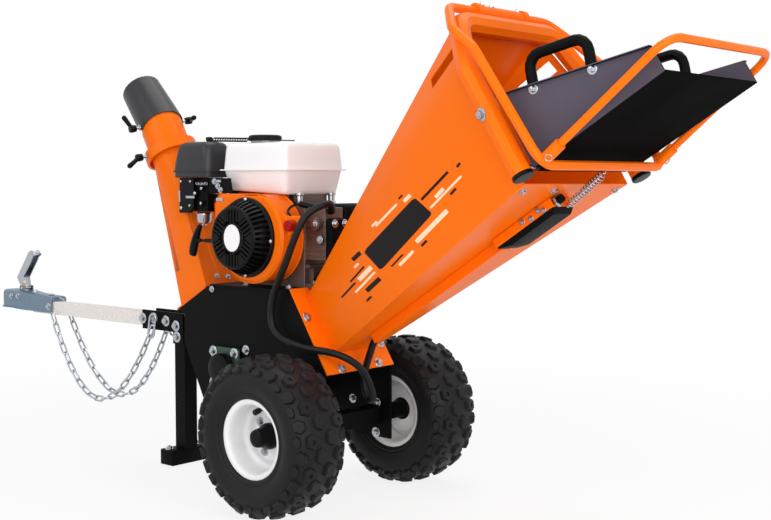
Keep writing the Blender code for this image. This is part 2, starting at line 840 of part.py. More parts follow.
def brackets():
    """Two L plates that clamp the drawbar's end and the top of the leg."""
    half = BRACKET_HEIGHT / 2
    leg_front, leg_back = LEG_X - STAND_TUBE / 2, LEG_X + STAND_TUBE / 2
    front = leg_back - BRACKET_LENGTH
    foot = BEAM_Z - half - BRACKET_DROP
    outline = [(front, BEAM_Z + half), (leg_back, BEAM_Z + half), (leg_back, foot), (leg_front, foot),
               (leg_front, BEAM_Z - half), (front, BEAM_Z - half)]
    inner = max(STAND_TUBE, DRAWBAR_TUBE) / 2 + GAP
    for side, sign in SIDES:
        low, high = sorted((sign * inner, sign * (inner + BRACKET_PLATE)))
        keep(plate("drawbar_bracket_" + side, outline, low, high), BLACK)


def coupling():
    """A pressed channel over the drawbar's front end, open below, with a raised nose for the ball."""
    front = LEG_X - STAND_TUBE / 2 - GAP - DRAWBAR_LENGTH
    back = front + COUPLING_SLEEVE
    nose = back - COUPLING_LENGTH
    inner = DRAWBAR_TUBE / 2 + GAP
    wall = COUPLING_WALL
    low = BEAM_Z - inner - wall

    def section(x, half, top):
        outer = half + wall
        return [Vector((x, y, z)) for y, z in (
            (-outer, low), (-outer, top + wall), (outer, top + wall), (outer, low),
            (half, low), (half, top), (-half, top), (-half, low))]

    nose_half = COUPLING_NOSE_WIDTH / 2
    top = BEAM_Z + inner
    nose_top = top + COUPLING_NOSE_RISE
    throat = front - DRAWBAR_TUBE / 2
    made = loft("coupling_body", [section(back, inner, top), section(front, inner, top),
                                  section(throat, nose_half, nose_top), section(nose + wall, nose_half, nose_top),
                                  section(nose, nose_half * 0.8, nose_top - wall)], closed=False)
    end = box("coupling_nose_end", (nose + wall / 4, -nose_half, low + nose_half / 2),
              (nose + 2 * wall, nose_half, nose_top + wall / 2))
    pivot = pivot_at("coupling_lever_axis", (back - LEVER_PIVOT_BACK, 0, nose_top + wall + LEVER_THICK))
    base = pivot.location
    join(made, end)
    for side, sign in SIDES:
        low, high = sorted((sign * (LEVER_WIDTH / 2 + GAP), sign * (LEVER_WIDTH / 2 + GAP + LEVER_EAR)))
        reach = LEVER_EAR_LENGTH / 2
        join(made, box("lever_ear_" + side, (base.x - reach, low, nose_top + wall / 2),
                       (base.x + reach, high, base.z + LEVER_THICK)))
    pin_end = LEVER_WIDTH / 2 + GAP + LEVER_EAR
    across = Vector((0, pin_end, 0))
    cut(made, rod("lever_pin_hole", base - 2 * across, base + 2 * across, LEVER_PIN + GAP))
    keep(made, ZINC)
    knee = base + Vector((-LEVER_BEND / 2, 0, LEVER_BEND))
    tip = knee + Vector((LEVER_LENGTH * sin(CHUTE_TILT), 0, LEVER_LENGTH * cos(CHUTE_TILT)))
    foot = base + (base - knee).normalized() * LEVER_THICK / 2
    path = rounded([foot, knee, tip], LEVER_BEND / 2)
    rings = []
    for i, point in enumerate(path):
        along = (path[min(i + 1, len(path) - 1)] - path[max(i - 1, 0)]).normalized()
        out = along.cross(ALONG_Y) * LEVER_THICK / 2
        across = ALONG_Y * LEVER_WIDTH / 2
        rings.append([point - out - across, point + out - across, point + out + across, point - out + across])
    lever = loft("coupling_lever", rings, closed=False)
    across = Vector((0, pin_end, 0))
    keep(join(lever, rod("lever_pin", base - across, base + across, LEVER_PIN)), ZINC, pivot)


# Drum, bearings and belt drive


def knife_frame(index):
    angle = pi / 3 + index * pi
    out = Vector((cos(angle), 0, sin(angle)))
    along = Vector((-sin(angle), 0, cos(angle)))
    return frame_on(Vector((DRUM_X, 0, DRUM_Z)), along, ALONG_Y), out


def rotor():
    pivot = pivot_at("rotor_axis", (DRUM_X, 0, DRUM_Z))
    half = DRUM_WIDTH / 2
    near_end = -PLATE_OUTER - BEARING_LENGTH - PLATE
    far_end = BELT_Y + BELT_WIDTH / 2 + PULLEY_FLANGE + PLATE
    profile = [(0, near_end), (SHAFT_RADIUS, near_end), (SHAFT_RADIUS, -half), (DRUM_RADIUS, -half),
               (DRUM_RADIUS, half), (SHAFT_RADIUS, half), (SHAFT_RADIUS, far_end), (0, far_end)]
    drum = turned("drum", profile, pivot.location, ALONG_Y)
    seat = DRUM_RADIUS - KNIFE_THICK - KNIFE_REACH
    for index, name in enumerate(("knife_a", "knife_b")):
        frame, out = knife_frame(index)
        up = 1 if frame.to_3x3().col[2].dot(out) > 0 else -1
        knife_half, pocket_half = KNIFE_WIDTH / 2, KNIFE_WIDTH / 2 + GAP
        low, high = sorted((up * (seat + GAP), up * (seat + GAP + KNIFE_THICK)))
        knife = framed_box(name, frame, (-knife_half, -half + GAP, low), (knife_half, half - GAP, high))
        low, high = sorted((up * seat, up * 2 * DRUM_RADIUS))
        pocket = framed_box(name + "_pocket", frame, (-pocket_half, -half - PLATE, low),
                            (pocket_half, half + PLATE, high))
        cut(drum, pocket)
        keep(knife, STEEL, pivot)
    keep(drum, STEEL, pivot)
    pulley("driven_pulley", DRIVEN_RADIUS, SHAFT_RADIUS, pivot, STEEL)


def anvil():
    """The fixed counter blade on the chamber floor, just outside the knives' circle."""
    (start_x, start_z), (end_x, end_z) = wrap_path()[:2]
    along = Vector((start_x - end_x, 0, start_z - end_z))
    frame = frame_on(Vector((end_x, 0, end_z)), along, ALONG_Y)
    half = PLATE_INNER - GAP
    low = SHELL / 2 + GAP
    made = framed_box("anvil", frame, (-ANVIL_OVERHANG, -half, low), (ANVIL_WIDTH, half, low + ANVIL_THICK))
    keep(made, STEEL)


def bearings():
    for side, sign in SIDES:
        half = BEARING_FLANGE / 2
        foot = PLATE_OUTER + GAP
        low, high = sorted((sign * foot, sign * (foot + BEARING_PLATE)))
        made = box("bearing_" + side, (DRUM_X - half, low, DRUM_Z - half), (DRUM_X + half, high, DRUM_Z + half))
        bevelled(made, half / 3)
        end = sign * (foot + BEARING_LENGTH)
        boss = rod("boss_" + side, (DRUM_X, sign * (foot + PLATE), DRUM_Z), (DRUM_X, end, DRUM_Z), BEARING_BOSS,
                   BEARING_BOSS - PLATE, ROUND_STEPS)
        bore = rod("bore_" + side, (DRUM_X, 0, DRUM_Z), (DRUM_X, 2 * end, DRUM_Z), SHAFT_RADIUS + GAP, None,
                   ROUND_STEPS)
        keep(cut(join(made, boss), bore), GREEN)


def pulley(name, radius, bore, pivot, finish):
    half = BELT_WIDTH / 2 + GAP
    end = half + PULLEY_FLANGE
    rim_radius = radius + PULLEY_RIM
    hole = bore + GAP
    profile = [(hole, end), (rim_radius, end), (rim_radius, half), (radius, half), (radius, -half),
               (rim_radius, -half), (rim_radius, -end), (hole, -end)]
    origin = Vector((pivot.location.x, BELT_Y, pivot.location.z))
    keep(turned(name, profile, origin, ALONG_Y), finish, pivot)


def belt_loop(margin):
    """The outline of a belt round both pulleys, margin outside their grooves."""
    span = Vector((CRANK_X - DRUM_X, CRANK_Z - DRUM_Z))
    heading = atan2(span.y, span.x)
    spread = acos((DRIVEN_RADIUS - DRIVE_RADIUS) / span.length)
    steps = ROUND_STEPS // 2
    big, small = DRIVEN_RADIUS + margin, DRIVE_RADIUS + margin
    loop = []
    for i in range(steps + 1):
        angle = heading + spread + (2 * pi - 2 * spread) * i / steps
        loop.append((DRUM_X + big * cos(angle), DRUM_Z + big * sin(angle)))
    for i in range(steps + 1):
        angle = heading - spread + 2 * spread * i / steps
        loop.append((CRANK_X + small * cos(angle), CRANK_Z + small * sin(angle)))
    return loop


def belt_drive():
    half = BELT_WIDTH / 2
    inside = belt_loop(BELT_SLACK)
    keep(plate("drive_belt", belt_loop(BELT_SLACK + BELT_THICK), BELT_Y - half, BELT_Y + half, (inside,)), RUBBER)
    low = PLATE_OUTER + GAP
    high = low + GUARD_DEPTH
    rings = []
    for margin, y in ((GUARD_MARGIN, low), (GUARD_MARGIN, high), (-DRIVE_RADIUS * 0.9, high),
                      (-DRIVE_RADIUS * 0.9, high - GUARD_SHEET), (GUARD_MARGIN - GUARD_SHEET, high - GUARD_SHEET),
                      (GUARD_MARGIN - GUARD_SHEET, low)):
        rings.append([Vector((x, y, z)) for x, z in belt_loop(margin)])
    keep(loft("belt_guard", rings, closed=True), BLACK)


# Engine


def crank():
    pivot = pivot_at("crank_axis", (CRANK_X, 0, CRANK_Z))
    far_end = BELT_Y + BELT_WIDTH / 2 + PULLEY_FLANGE + PLATE
    wheel_back = FLYWHEEL_FRONT + FLYWHEEL_THICK
    profile = [(0, FLYWHEEL_FRONT), (FLYWHEEL_RADIUS, FLYWHEEL_FRONT), (FLYWHEEL_RADIUS, wheel_back),
               (CRANK_RADIUS, wheel_back), (CRANK_RADIUS, far_end), (0, far_end)]
    keep(turned("crankshaft", profile, pivot.location, ALONG_Y), STEEL, pivot)
    pulley("drive_pulley", DRIVE_RADIUS, CRANK_RADIUS, pivot, STEEL)


def crankcase():
    floor = DECK_Z + GAP
    made = box("crankcase", (CASE_LEFT, CASE_FRONT, floor), (CASE_RIGHT, CASE_BACK, CASE_TOP))
    foot = box("crankcase_foot", (CASE_LEFT - CASE_FOOT, CASE_FRONT + CASE_FOOT / 4, floor + GAP),
               (CASE_RIGHT - CASE_FOOT / 2, CASE_BACK - CASE_FOOT / 4, floor + CASE_FOOT_THICK))
    head = box("cylinder_head", (CASE_RIGHT - CASE_FOOT, CASE_FRONT + CASE_FOOT / 5, HEAD_LOW),
               (CASE_RIGHT + HEAD_REACH, HEAD_BACK, CASE_TOP - CASE_FOOT / 4))
    posts = [box("tank_post_" + str(i), (x - CASE_FOOT / 2, CASE_FRONT + CASE_FOOT, CASE_TOP - CASE_FOOT),
                 (x + CASE_FOOT / 2, CASE_BACK - CASE_FOOT, TANK_BOTTOM - GAP))
             for i, x in enumerate((CASE_LEFT + CASE_FOOT, CASE_RIGHT - 3 * CASE_FOOT))]
    bore = rod("crank_bore", (CRANK_X, 2 * CASE_FRONT, CRANK_Z), (CRANK_X, 2 * CASE_BACK, CRANK_Z),
               CRANK_RADIUS + GAP, None, ROUND_STEPS)
    keep(cut(join(made, foot, head, *posts), bore), ALLOY)


def fan_reach(angle, inset):
    """How far the fan housing reaches from the crank: fuller to the right, with a shoulder at its upper left."""
    across, rise = cos(angle), sin(angle)
    reach = FAN_RADIUS + FAN_BULGE * max(0, across)
    if across < -GAP and rise > 0:
        reach = max(reach, FAN_LEFT / -across)
    if rise > GAP:
        reach = min(reach, FAN_HIGH / rise)
    return reach - inset


def fan_housing():
    steps = FINE_STEPS
    rings = []
    back = CASE_FRONT - GAP
    for y, inset, eye in ((FAN_FRONT, 0, True), (FAN_FRONT, FAN_SHEET, False), (FAN_FRONT + FAN_SHEET, 0, False),
                          (back, 0, False), (back, FAN_SHEET, False),
                          (FAN_FRONT + FAN_SHEET, FAN_SHEET, False), (FAN_FRONT + FAN_SHEET, 0, True)):
        ring = []
        for i in range(steps):
            angle = 2 * pi * i / steps
            reach = FAN_EYE if eye else fan_reach(angle, inset)
            ring.append(Vector((CRANK_X + reach * cos(angle), y, CRANK_Z + reach * sin(angle))))
        rings.append(ring)
    pad = box("switch_pad", (SWITCH_X - SWITCH_PAD_ROOT, SWITCH_FRONT, SWITCH_Z - SWITCH_PAD),
              (SWITCH_X + SWITCH_RADIUS, SWITCH_FRONT + SWITCH_PAD_THICK, SWITCH_Z + SWITCH_PAD))
    keep(join(loft("fan_housing", rings, closed=True), pad), ORANGE)


def recoil():
    back = FAN_FRONT - GAP
    face = back - RECOIL_DEPTH
    waist = (RECOIL_FACE + 2 * RECOIL_RADIUS) / 3
    mid = (face + back) / 2
    wall = RECOIL_WALL
    profile = [(0, face), (RECOIL_FACE, face), (waist, mid), (RECOIL_RADIUS, back), (RECOIL_RADIUS - wall, back),
               (waist - wall, mid + wall), (RECOIL_FACE - wall, face + wall), (0, face + wall)]
    cover = turned("recoil_cover", profile, (CRANK_X, 0, CRANK_Z), ALONG_Y)
    rope_z = CRANK_Z - ROPE_DROP
    hole = rod("rope_hole", (CRANK_X - 2 * RECOIL_RADIUS, ROPE_Y, rope_z),
               (CRANK_X - RECOIL_FACE / 2, ROPE_Y, rope_z),
               ROPE_RADIUS + GAP)
    keep(cut(cover, hole), BLACK)
    pivot = pivot_at("recoil_rope_axis", (GRIP_X, ROPE_Y, rope_z))
    lean = Vector((sin(GRIP_LEAN), 0, cos(GRIP_LEAN))) * GRIP_LENGTH / 2
    grip = rod("recoil_grip", pivot.location - lean, pivot.location + lean, GRIP_RADIUS, GRIP_RADIUS)
    rope_end = (CRANK_X + ROPE_STORED * RECOIL_FACE, ROPE_Y, rope_z)
    rope = rod("rope", pivot.location, rope_end, ROPE_RADIUS, None, SMALL_STEPS // 2)
    keep(join(grip, rope), BLACK, pivot)


def soft_rectangle(low, high, z, corner):
    """A rectangle with rounded corners at one height."""
    ring = []
    steps = 4
    for x, y, start in ((high[0], high[1], 0), (low[0], high[1], 1), (low[0], low[1], 2), (high[0], low[1], 3)):
        centre = (x - corner if x == high[0] else x + corner, y - corner if y == high[1] else y + corner)
        for i in range(steps + 1):
            angle = pi / 2 * (start + i / steps)
            ring.append(Vector((centre[0] + corner * cos(angle), centre[1] + corner * sin(angle), z)))
    return ring


def fuel_tank():
    rim_rise = TANK_SEAM_RIM / 3
    corner = TANK_SEAM_RIM * 4
    levels = (
        (TANK_BOTTOM, 2 * TANK_SEAM_RIM), (TANK_BOTTOM + TANK_SEAM_RIM, TANK_SEAM_RIM), (TANK_SEAM - rim_rise, 0),
        (TANK_SEAM - rim_rise + GAP, -TANK_SEAM_RIM), (TANK_SEAM, -TANK_SEAM_RIM), (TANK_SEAM + GAP, 0),
        (TANK_TOP - 2 * TANK_SEAM_RIM, TANK_SEAM_RIM), (TANK_TOP - rim_rise, 2 * TANK_SEAM_RIM),
        (TANK_TOP, 4 * TANK_SEAM_RIM),
    )
    rings = [soft_rectangle((TANK_LEFT + inset, TANK_FRONT + inset),
                            (TANK_RIGHT - inset, TANK_BACK - inset), z, corner)
             for z, inset in levels]
    keep(loft("fuel_tank", rings, closed=False), WHITE)
    pivot = pivot_at("fuel_cap_axis", (CAP_X, CAP_Y, TANK_TOP))
    rim_low = CAP_HEIGHT / 3
    profile = [(0, GAP), (CAP_RADIUS * 0.8, GAP), (CAP_RADIUS * 0.8, rim_low), (CAP_RADIUS, rim_low),
               (CAP_RADIUS, CAP_HEIGHT - rim_low / 2), (CAP_RADIUS - rim_low, CAP_HEIGHT), (0, CAP_HEIGHT)]
    keep(turned("fuel_cap", profile, pivot.location, UP), BLACK, pivot)


def intake():
    cover = box("air_filter_cover", (FILTER_LEFT, FILTER_FRONT, FILTER_BOTTOM),
                (FILTER_RIGHT, FILTER_BACK, FILTER_TOP))
    keep(bevelled(cover, (FILTER_TOP - FILTER_BOTTOM) / 8), BLACK)
    carb = box("carburettor", (CARB_LEFT, CARB_FRONT, CARB_BOTTOM), (CARB_RIGHT, CARB_BACK, FILTER_BOTTOM - GAP))
    middle_x = (CARB_LEFT + CARB_RIGHT) / 2
    middle_y = (CARB_FRONT + CARB_BACK) / 2
    bowl = rod("bowl", (middle_x, middle_y, CARB_BOTTOM - BOWL_DROP), (middle_x, middle_y, CARB_BOTTOM + BOWL_DROP),
               BOWL_RADIUS)
    port_y = CARB_BACK - GAP
    port = rod("intake_port", (middle_x, port_y, CARB_BOTTOM + INTAKE_RADIUS),
               (CASE_LEFT - GAP, port_y, CARB_BOTTOM + INTAKE_RADIUS - GAP), INTAKE_RADIUS)
    keep(join(carb, bowl, port), BLACK)


def exhaust():
    left = CASE_RIGHT + GAP
    made = box("muffler", (left, MUFFLER_FRONT, MUFFLER_LOW), (left + MUFFLER_LENGTH, MUFFLER_BACK, MUFFLER_HIGH))
    keep(bevelled(made, MUFFLER_LENGTH / 4, 3), BLACK)


def engine_switch():
    front = SWITCH_FRONT - GAP
    pivot = pivot_at("engine_switch_axis", (SWITCH_X, front, SWITCH_Z))
    made = rod("engine_switch", (SWITCH_X, front, SWITCH_Z), (SWITCH_X, front - SWITCH_LENGTH, SWITCH_Z),
               SWITCH_RADIUS)
    keep(bevelled(made, SWITCH_RADIUS / 6, 1), RED, pivot)


# Discharge


def section_ring(s, half_y, half_v, roundness):
    """A ring across the chute that goes from a rectangle to a circle."""
    ring = []
    for i in range(LOFT_POINTS):
        angle = 2 * pi * (i + 0.5) / LOFT_POINTS
        across, over = cos(angle), sin(angle)
        square = 1 / max(abs(across), abs(over))
        y = half_y * across * (square + (1 - square) * roundness)
        v = half_v * over * (square + (1 - square) * roundness)
        ring.append(chute(s, y, v))
    return ring


def lower_chute():
    half_y, half_v = PLATE_INNER - CHUTE_FLANGE_RIM, CHUTE_BASE_SPAN / 2
    neck = CHUTE_LENGTH - CHUTE_NECK
    lip = CHUTE_RADIUS + CHUTE_LIP
    bore = CHUTE_RADIUS - CHUTE_SHEET
    foot = CHUTE_FLANGE_RIM
    thin = CHUTE_SHEET
    rings = [
        section_ring(0, PLATE_OUTER, half_v + foot, 0),
        section_ring(CHUTE_FLANGE, PLATE_OUTER, half_v + foot, 0),
        section_ring(CHUTE_FLANGE, half_y, half_v, 0),
        section_ring(neck, CHUTE_RADIUS, CHUTE_RADIUS, 1),
        section_ring(CHUTE_LENGTH - CHUTE_LIP_THICK, CHUTE_RADIUS, CHUTE_RADIUS, 1),
        section_ring(CHUTE_LENGTH - CHUTE_LIP_THICK, lip, lip, 1),
        section_ring(CHUTE_LENGTH, lip, lip, 1),
        section_ring(CHUTE_LENGTH, bore, bore, 1),
        section_ring(neck, bore, bore, 1),
        section_ring(CHUTE_FLANGE, half_y - thin, half_v - thin, 0),
        section_ring(0, half_y - thin, half_v - thin, 0),
    ]
    keep(loft("lower_chute", rings, closed=True), ORANGE)


def spout_frame():
    """X is the way the spout throws, Y its hinge axis and Z the swivel axis, at the top of the lower chute."""
    throw = Matrix.Rotation(-SPOUT_TURN, 3, CHUTE_AXIS) @ (-CHUTE_ACROSS)
    hinge = CHUTE_AXIS.cross(throw)
    return frame_on(chute(CHUTE_LENGTH, 0, 0), throw, hinge)


def upper_chute(frame, pivot):
    """The swivel collar and tube. Above its hinge the near half is a ball zone that the deflector rides on."""
    lip = CHUTE_RADIUS + CHUTE_LIP + RUNNING_GAP
    low = -COLLAR_HEIGHT + CHUTE_LIP_THICK
    bore = SPOUT_RADIUS - CHUTE_SHEET
    profile = [(lip, low), (COLLAR_RADIUS, low), (COLLAR_RADIUS, CHUTE_LIP_THICK / 2),
               (SPOUT_RADIUS, CHUTE_LIP_THICK)]
    zones = 4
    heights = [SPOUT_HOOD * i / zones for i in range(zones + 1)]
    profile += [((SPOUT_RADIUS ** 2 - h * h) ** 0.5, SPOUT_HINGE + h) for h in heights]
    profile += [((bore ** 2 - h * h) ** 0.5, SPOUT_HINGE + h) for h in reversed(heights)]
    profile += [(bore, GAP), (lip, GAP)]
    made = turned("upper_chute", profile, pivot.location, CHUTE_AXIS)
    reach = 2 * SPOUT_RADIUS
    open_side = framed_box("spout_open_side", frame, (CLAMP_BOLT * 2, -reach, SPOUT_HINGE - CLAMP_BOLT * 3),
                           (reach, reach, 2 * reach))
    keep(cut(made, open_side, clamp_hole(frame, "spout_pin_hole")), ORANGE, pivot)


def clamp_hole(frame, name):
    reach = 2 * SPOUT_RADIUS
    return rod(name, frame @ Vector((0, -reach, SPOUT_HINGE)), frame @ Vector((0, reach, SPOUT_HINGE)),
               CLAMP_BOLT + GAP)


def deflector_radius():
    return SPOUT_RADIUS + DEFLECTOR_GAP + CHUTE_SHEET


def deflector(frame):
    """A tube over the spout's end. Its throwing side is cut back so that it clears the spout when it tilts."""
    hinge = frame @ Vector((0, 0, SPOUT_HINGE))
    pivot = pivot_at("deflector_axis", hinge)
    turn = frame.to_3x3()
    throw, across, up = turn.col[0], turn.col[1], turn.col[2]
    along = throw * sin(DEFLECTOR_TILT) + up * cos(DEFLECTOR_TILT)
    out = throw * cos(DEFLECTOR_TILT) - up * sin(DEFLECTOR_TILT)
    thin = CHUTE_SHEET
    profile = [(deflector_radius() - thin, -DEFLECTOR_SKIRT), (deflector_radius(), -DEFLECTOR_SKIRT),
               (deflector_radius(), DEFLECTOR_SKIRT), (DEFLECTOR_END_RADIUS, DEFLECTOR_LENGTH),
               (DEFLECTOR_END_RADIUS - thin, DEFLECTOR_LENGTH), (deflector_radius() - thin, DEFLECTOR_SKIRT)]
    made = turned("deflector", profile, hinge, along)
    slope = out * cos(DEFLECTOR_MOST_TILT) + along * sin(DEFLECTOR_MOST_TILT)
    wedge = frame_on(hinge - along * DEFLECTOR_SKIRT, slope, across)
    reach = 4 * SPOUT_RADIUS
    cut(made, framed_box("deflector_cut", wedge, (0, -reach, -reach), (reach, reach, 0)))
    keep(cut(made, clamp_hole(frame, "deflector_pin_hole")), BLACK, pivot)


def clamp_lever(name, foot, out, arm, pivot, bolt):
    """A hub standing off a wall with a slim handle, and a bolt that goes through the wall."""
    foot, out, arm = Vector(foot), Vector(out).normalized(), Vector(arm).normalized()
    end = foot + out * CLAMP_STANDOFF
    hub = rod(name, foot, end, CLAMP_HUB * 0.7, CLAMP_HUB)
    knuckle = end - out * CLAMP_HUB
    handle = rod(name + "_arm", knuckle, knuckle + arm * CLAMP_ARM, CLAMP_HUB * 0.6, CLAMP_HUB * 0.45, 8)
    join(hub, handle)
    if bolt:
        join(hub, rod(name + "_bolt", foot - out * bolt, foot + out * CLAMP_BOLT, CLAMP_BOLT))
    keep(hub, BLACK, pivot)


def spout():
    frame = spout_frame()
    pivot = pivot_at("spout_axis", chute(CHUTE_LENGTH, 0, 0))
    upper_chute(frame, pivot)
    deflector(frame)
    throw, across, up = frame.to_3x3().col
    bolt = deflector_radius() + GAP - SPOUT_RADIUS + CHUTE_SHEET
    arms = (up + across * LEFT_ARM_LEAN, -throw - up * RIGHT_ARM_DROP)
    for name, sign, arm in (("spout_clamp_left", 1, arms[0]), ("spout_clamp_right", -1, arms[1])):
        foot = frame @ Vector((0, sign * (deflector_radius() + GAP), SPOUT_HINGE))
        clamp_lever(name, foot, sign * across, arm, pivot_at(name + "_axis", foot), bolt)
    foot = frame @ Vector((0, COLLAR_RADIUS + GAP, CHUTE_LIP_THICK - COLLAR_HEIGHT / 2))
    arm = across - up * COLLAR_ARM_DROP
    clamp_lever("collar_clamp", foot, across, arm, pivot_at("collar_clamp_axis", foot), 0)


# Hopper, safety bar and tray


def hopper_ring(d, floor_half, low, half, fold, top_half, top):
    return [hopper(d, y, h) for y, h in ((-floor_half, low), (floor_half, low), (half, fold), (top_half, top),
                                        (-top_half, top), (-half, fold))]


def hopper_shell():
    end = HOPPER_LENGTH - MOUTH_TUBE - GAP
    thin = HOPPER_SHEET
    floor = HOPPER_FLOOR
    flange_mid = (FLANGE_LOW + FLANGE_HIGH) / 2

    def walls(d, inset):
        share = d / end
        half = THROAT_HALF + (MOUTH_HALF - THROAT_HALF) * share - inset
        fold = THROAT_FOLD + (MOUTH_FOLD - THROAT_FOLD) * share - inset / 4
        top = THROAT_TOP + (MOUTH_TOP - THROAT_TOP) * share - inset
        top_half = THROAT_TOP_HALF + (MOUTH_TOP_HALF - THROAT_TOP_HALF) * share - inset / 2
        floor_half = THROAT_FLOOR_HALF + (MOUTH_FLOOR_HALF - THROAT_FLOOR_HALF) * share - inset
        return hopper_ring(d, floor_half, floor + inset, half, fold, top_half, top)

    def flange(d):
        return hopper_ring(d, FLANGE_HALF, FLANGE_LOW, FLANGE_HALF, flange_mid, FLANGE_HALF, FLANGE_HIGH)

    rings = [walls(end, 0), walls(FLANGE_PLATE, 0), flange(FLANGE_PLATE), flange(0), walls(0, thin),
             walls(end, thin)]
    made = loft("hopper_shell", rings, closed=True)
    keep(made, ORANGE)
    far_d, near_d = end - SLOT_FROM_MOUTH + SLOT_LENGTH, end - SLOT_FROM_MOUTH
    for side, sign in SIDES:
        fold_point = hopper(near_d, sign * (MOUTH_HALF + MOUTH_TOP_HALF) / 2, (MOUTH_FOLD + MOUTH_TOP) / 2)
        across = Vector((0, sign * (MOUTH_HALF - MOUTH_TOP_HALF), 0)) - HOPPER_UP * (MOUTH_TOP - MOUTH_FOLD)
        frame = frame_on(fold_point, HOPPER_AXIS, across)
        reach = 12 * HOPPER_SHEET
        cut(made, framed_box("hopper_slot_" + side, frame, (0, -SLOT_WIDTH / 2, -reach),
                             (far_d - near_d, SLOT_WIDTH / 2, reach)))


def mouth_frame():
    points = [mouth(0, -MOUTH_TUBE_HALF, MOUTH_TUBE_LOW), mouth(0, -MOUTH_TUBE_HALF, MOUTH_TUBE_BEND),
              mouth(0, -MOUTH_TUBE_TOP_HALF, MOUTH_TUBE_TOP), mouth(0, MOUTH_TUBE_TOP_HALF, MOUTH_TUBE_TOP),
              mouth(0, MOUTH_TUBE_HALF, MOUTH_TUBE_BEND), mouth(0, MOUTH_TUBE_HALF, MOUTH_TUBE_LOW)]
    keep(tube("mouth_tube", rounded(points, MOUTH_BEND_RADIUS), MOUTH_TUBE), ORANGE)
    bore = BAR_RADIUS + GAP
    profile = [(bore, SLEEVE_HALF), (SLEEVE_RADIUS, SLEEVE_HALF), (SLEEVE_RADIUS, -SLEEVE_HALF),
               (bore, -SLEEVE_HALF)]
    keep(turned("bar_sleeve", profile, bar_pivot(), ALONG_Y, SMALL_STEPS), ORANGE)


def bar_pivot():
    return mouth(0, 0, MOUTH_TUBE_TOP + MOUTH_TUBE + SLEEVE_RADIUS + GAP)


def safety_bar():
    pivot = pivot_at("safety_bar_axis", bar_pivot())
    top = MOUTH_TUBE_TOP + MOUTH_TUBE + SLEEVE_RADIUS + GAP
    half = [mouth(0, BAR_TOP_HALF, top), mouth(BAR_SHOULDER_OUT, BAR_HALF, BAR_SHOULDER),
            mouth(BAR_KNEE_OUT, BAR_HALF, BAR_KNEE), mouth(BAR_LOW_OUT, BAR_HALF, BAR_LOW)]
    mirrored = [Vector((point.x, -point.y, point.z)) for point in reversed(half)]
    loop = rounded(half + mirrored, BAR_BEND, cyclic=True)
    bar = as_mesh(tube("safety_bar", loop, BAR_RADIUS, cyclic=True))
    hoop_path = []
    for side, sign in (("near", -1), ("far", 1)):
        start = mouth(BAR_LOW_OUT + BAR_RADIUS + GAP, sign * HOOP_HALF, BAR_LOW + HOOP_START)
        end = mouth(BAR_LOW_OUT + HOOP_REACH, sign * HOOP_END_HALF, HOOP_RISE)
        hoop_path += [start, end] if sign < 0 else [end, start]
        along = (end - start).normalized()
        foot = start - along * BAR_RADIUS
        socket = rod("hoop_socket_" + side, foot, start + along * SOCKET_LENGTH, HOOP_RADIUS + SOCKET_WALL)
        bore = rod("hoop_bore_" + side, start - along * GAP, start + along * HOOP_REACH, HOOP_RADIUS + GAP)
        cut(join(bar, socket), bore)
    keep(bar, ORANGE, pivot)
    keep(tube("feed_hoop", rounded(hoop_path, HOOP_BEND), HOOP_RADIUS), ORANGE, pivot)


def feed_tray():
    pivot = pivot_at("feed_tray_axis", tray(0, 0, 0))
    thin = TRAY_SHEET
    eye_radius = TRAY_PIN_RADIUS + RUNNING_GAP + EYE_WALL
    floor = -eye_radius + thin

    def section(s, half, wing):
        return [tray(s, y, h) for y, h in (
            (-half - TRAY_LIP, wing - thin), (-half, wing - thin), (-half, floor), (half, floor),
            (half, wing - thin), (half + TRAY_LIP, wing - thin), (half + TRAY_LIP, wing), (half - thin, wing),
            (half - thin, floor + thin), (-half + thin, floor + thin), (-half + thin, wing),
            (-half - TRAY_LIP, wing))]

    ends = [section(eye_radius / 2, TRAY_HALF, WING_BACK), section(TRAY_LENGTH, TRAY_HALF, WING_FRONT)]
    sheet = loft("feed_tray", ends, closed=False)
    eye = rod("tray_eye", tray(0, -EYE_HALF, 0), tray(0, EYE_HALF, 0), eye_radius, None, SMALL_STEPS)
    bore = rod("tray_eye_bore", tray(0, -TRAY_HALF * 2, 0), tray(0, TRAY_HALF * 2, 0),
               TRAY_PIN_RADIUS + RUNNING_GAP, None, SMALL_STEPS)
    keep(cut(join(sheet, eye), bore), BLACK, pivot)
    pin_end = MOUTH_TUBE_HALF - MOUTH_TUBE - GAP
    keep(rod("tray_hinge_pin", tray(0, -pin_end, 0), tray(0, pin_end, 0), TRAY_PIN_RADIUS), STEEL)
    slope = atan2(WING_BACK - WING_FRONT, TRAY_LENGTH - eye_radius / 2)
    for side, sign in SIDES:
        y = sign * (TRAY_HALF - HANDLE_INSET)
        feet = []
        for s in HANDLE_FEET:
            edge = WING_BACK - (s - eye_radius / 2) * (WING_BACK - WING_FRONT) / (TRAY_LENGTH - eye_radius / 2)
            feet.append([tray(s + sin(slope) * rise, y, edge + cos(slope) * rise) for rise in (GAP, HANDLE_RISE)])
        path = rounded([feet[0][0], feet[0][1], feet[1][1], feet[1][0]], HANDLE_BEND)
        keep(tube("tray_handle_" + side, path, HANDLE_RADIUS), BLACK, pivot)


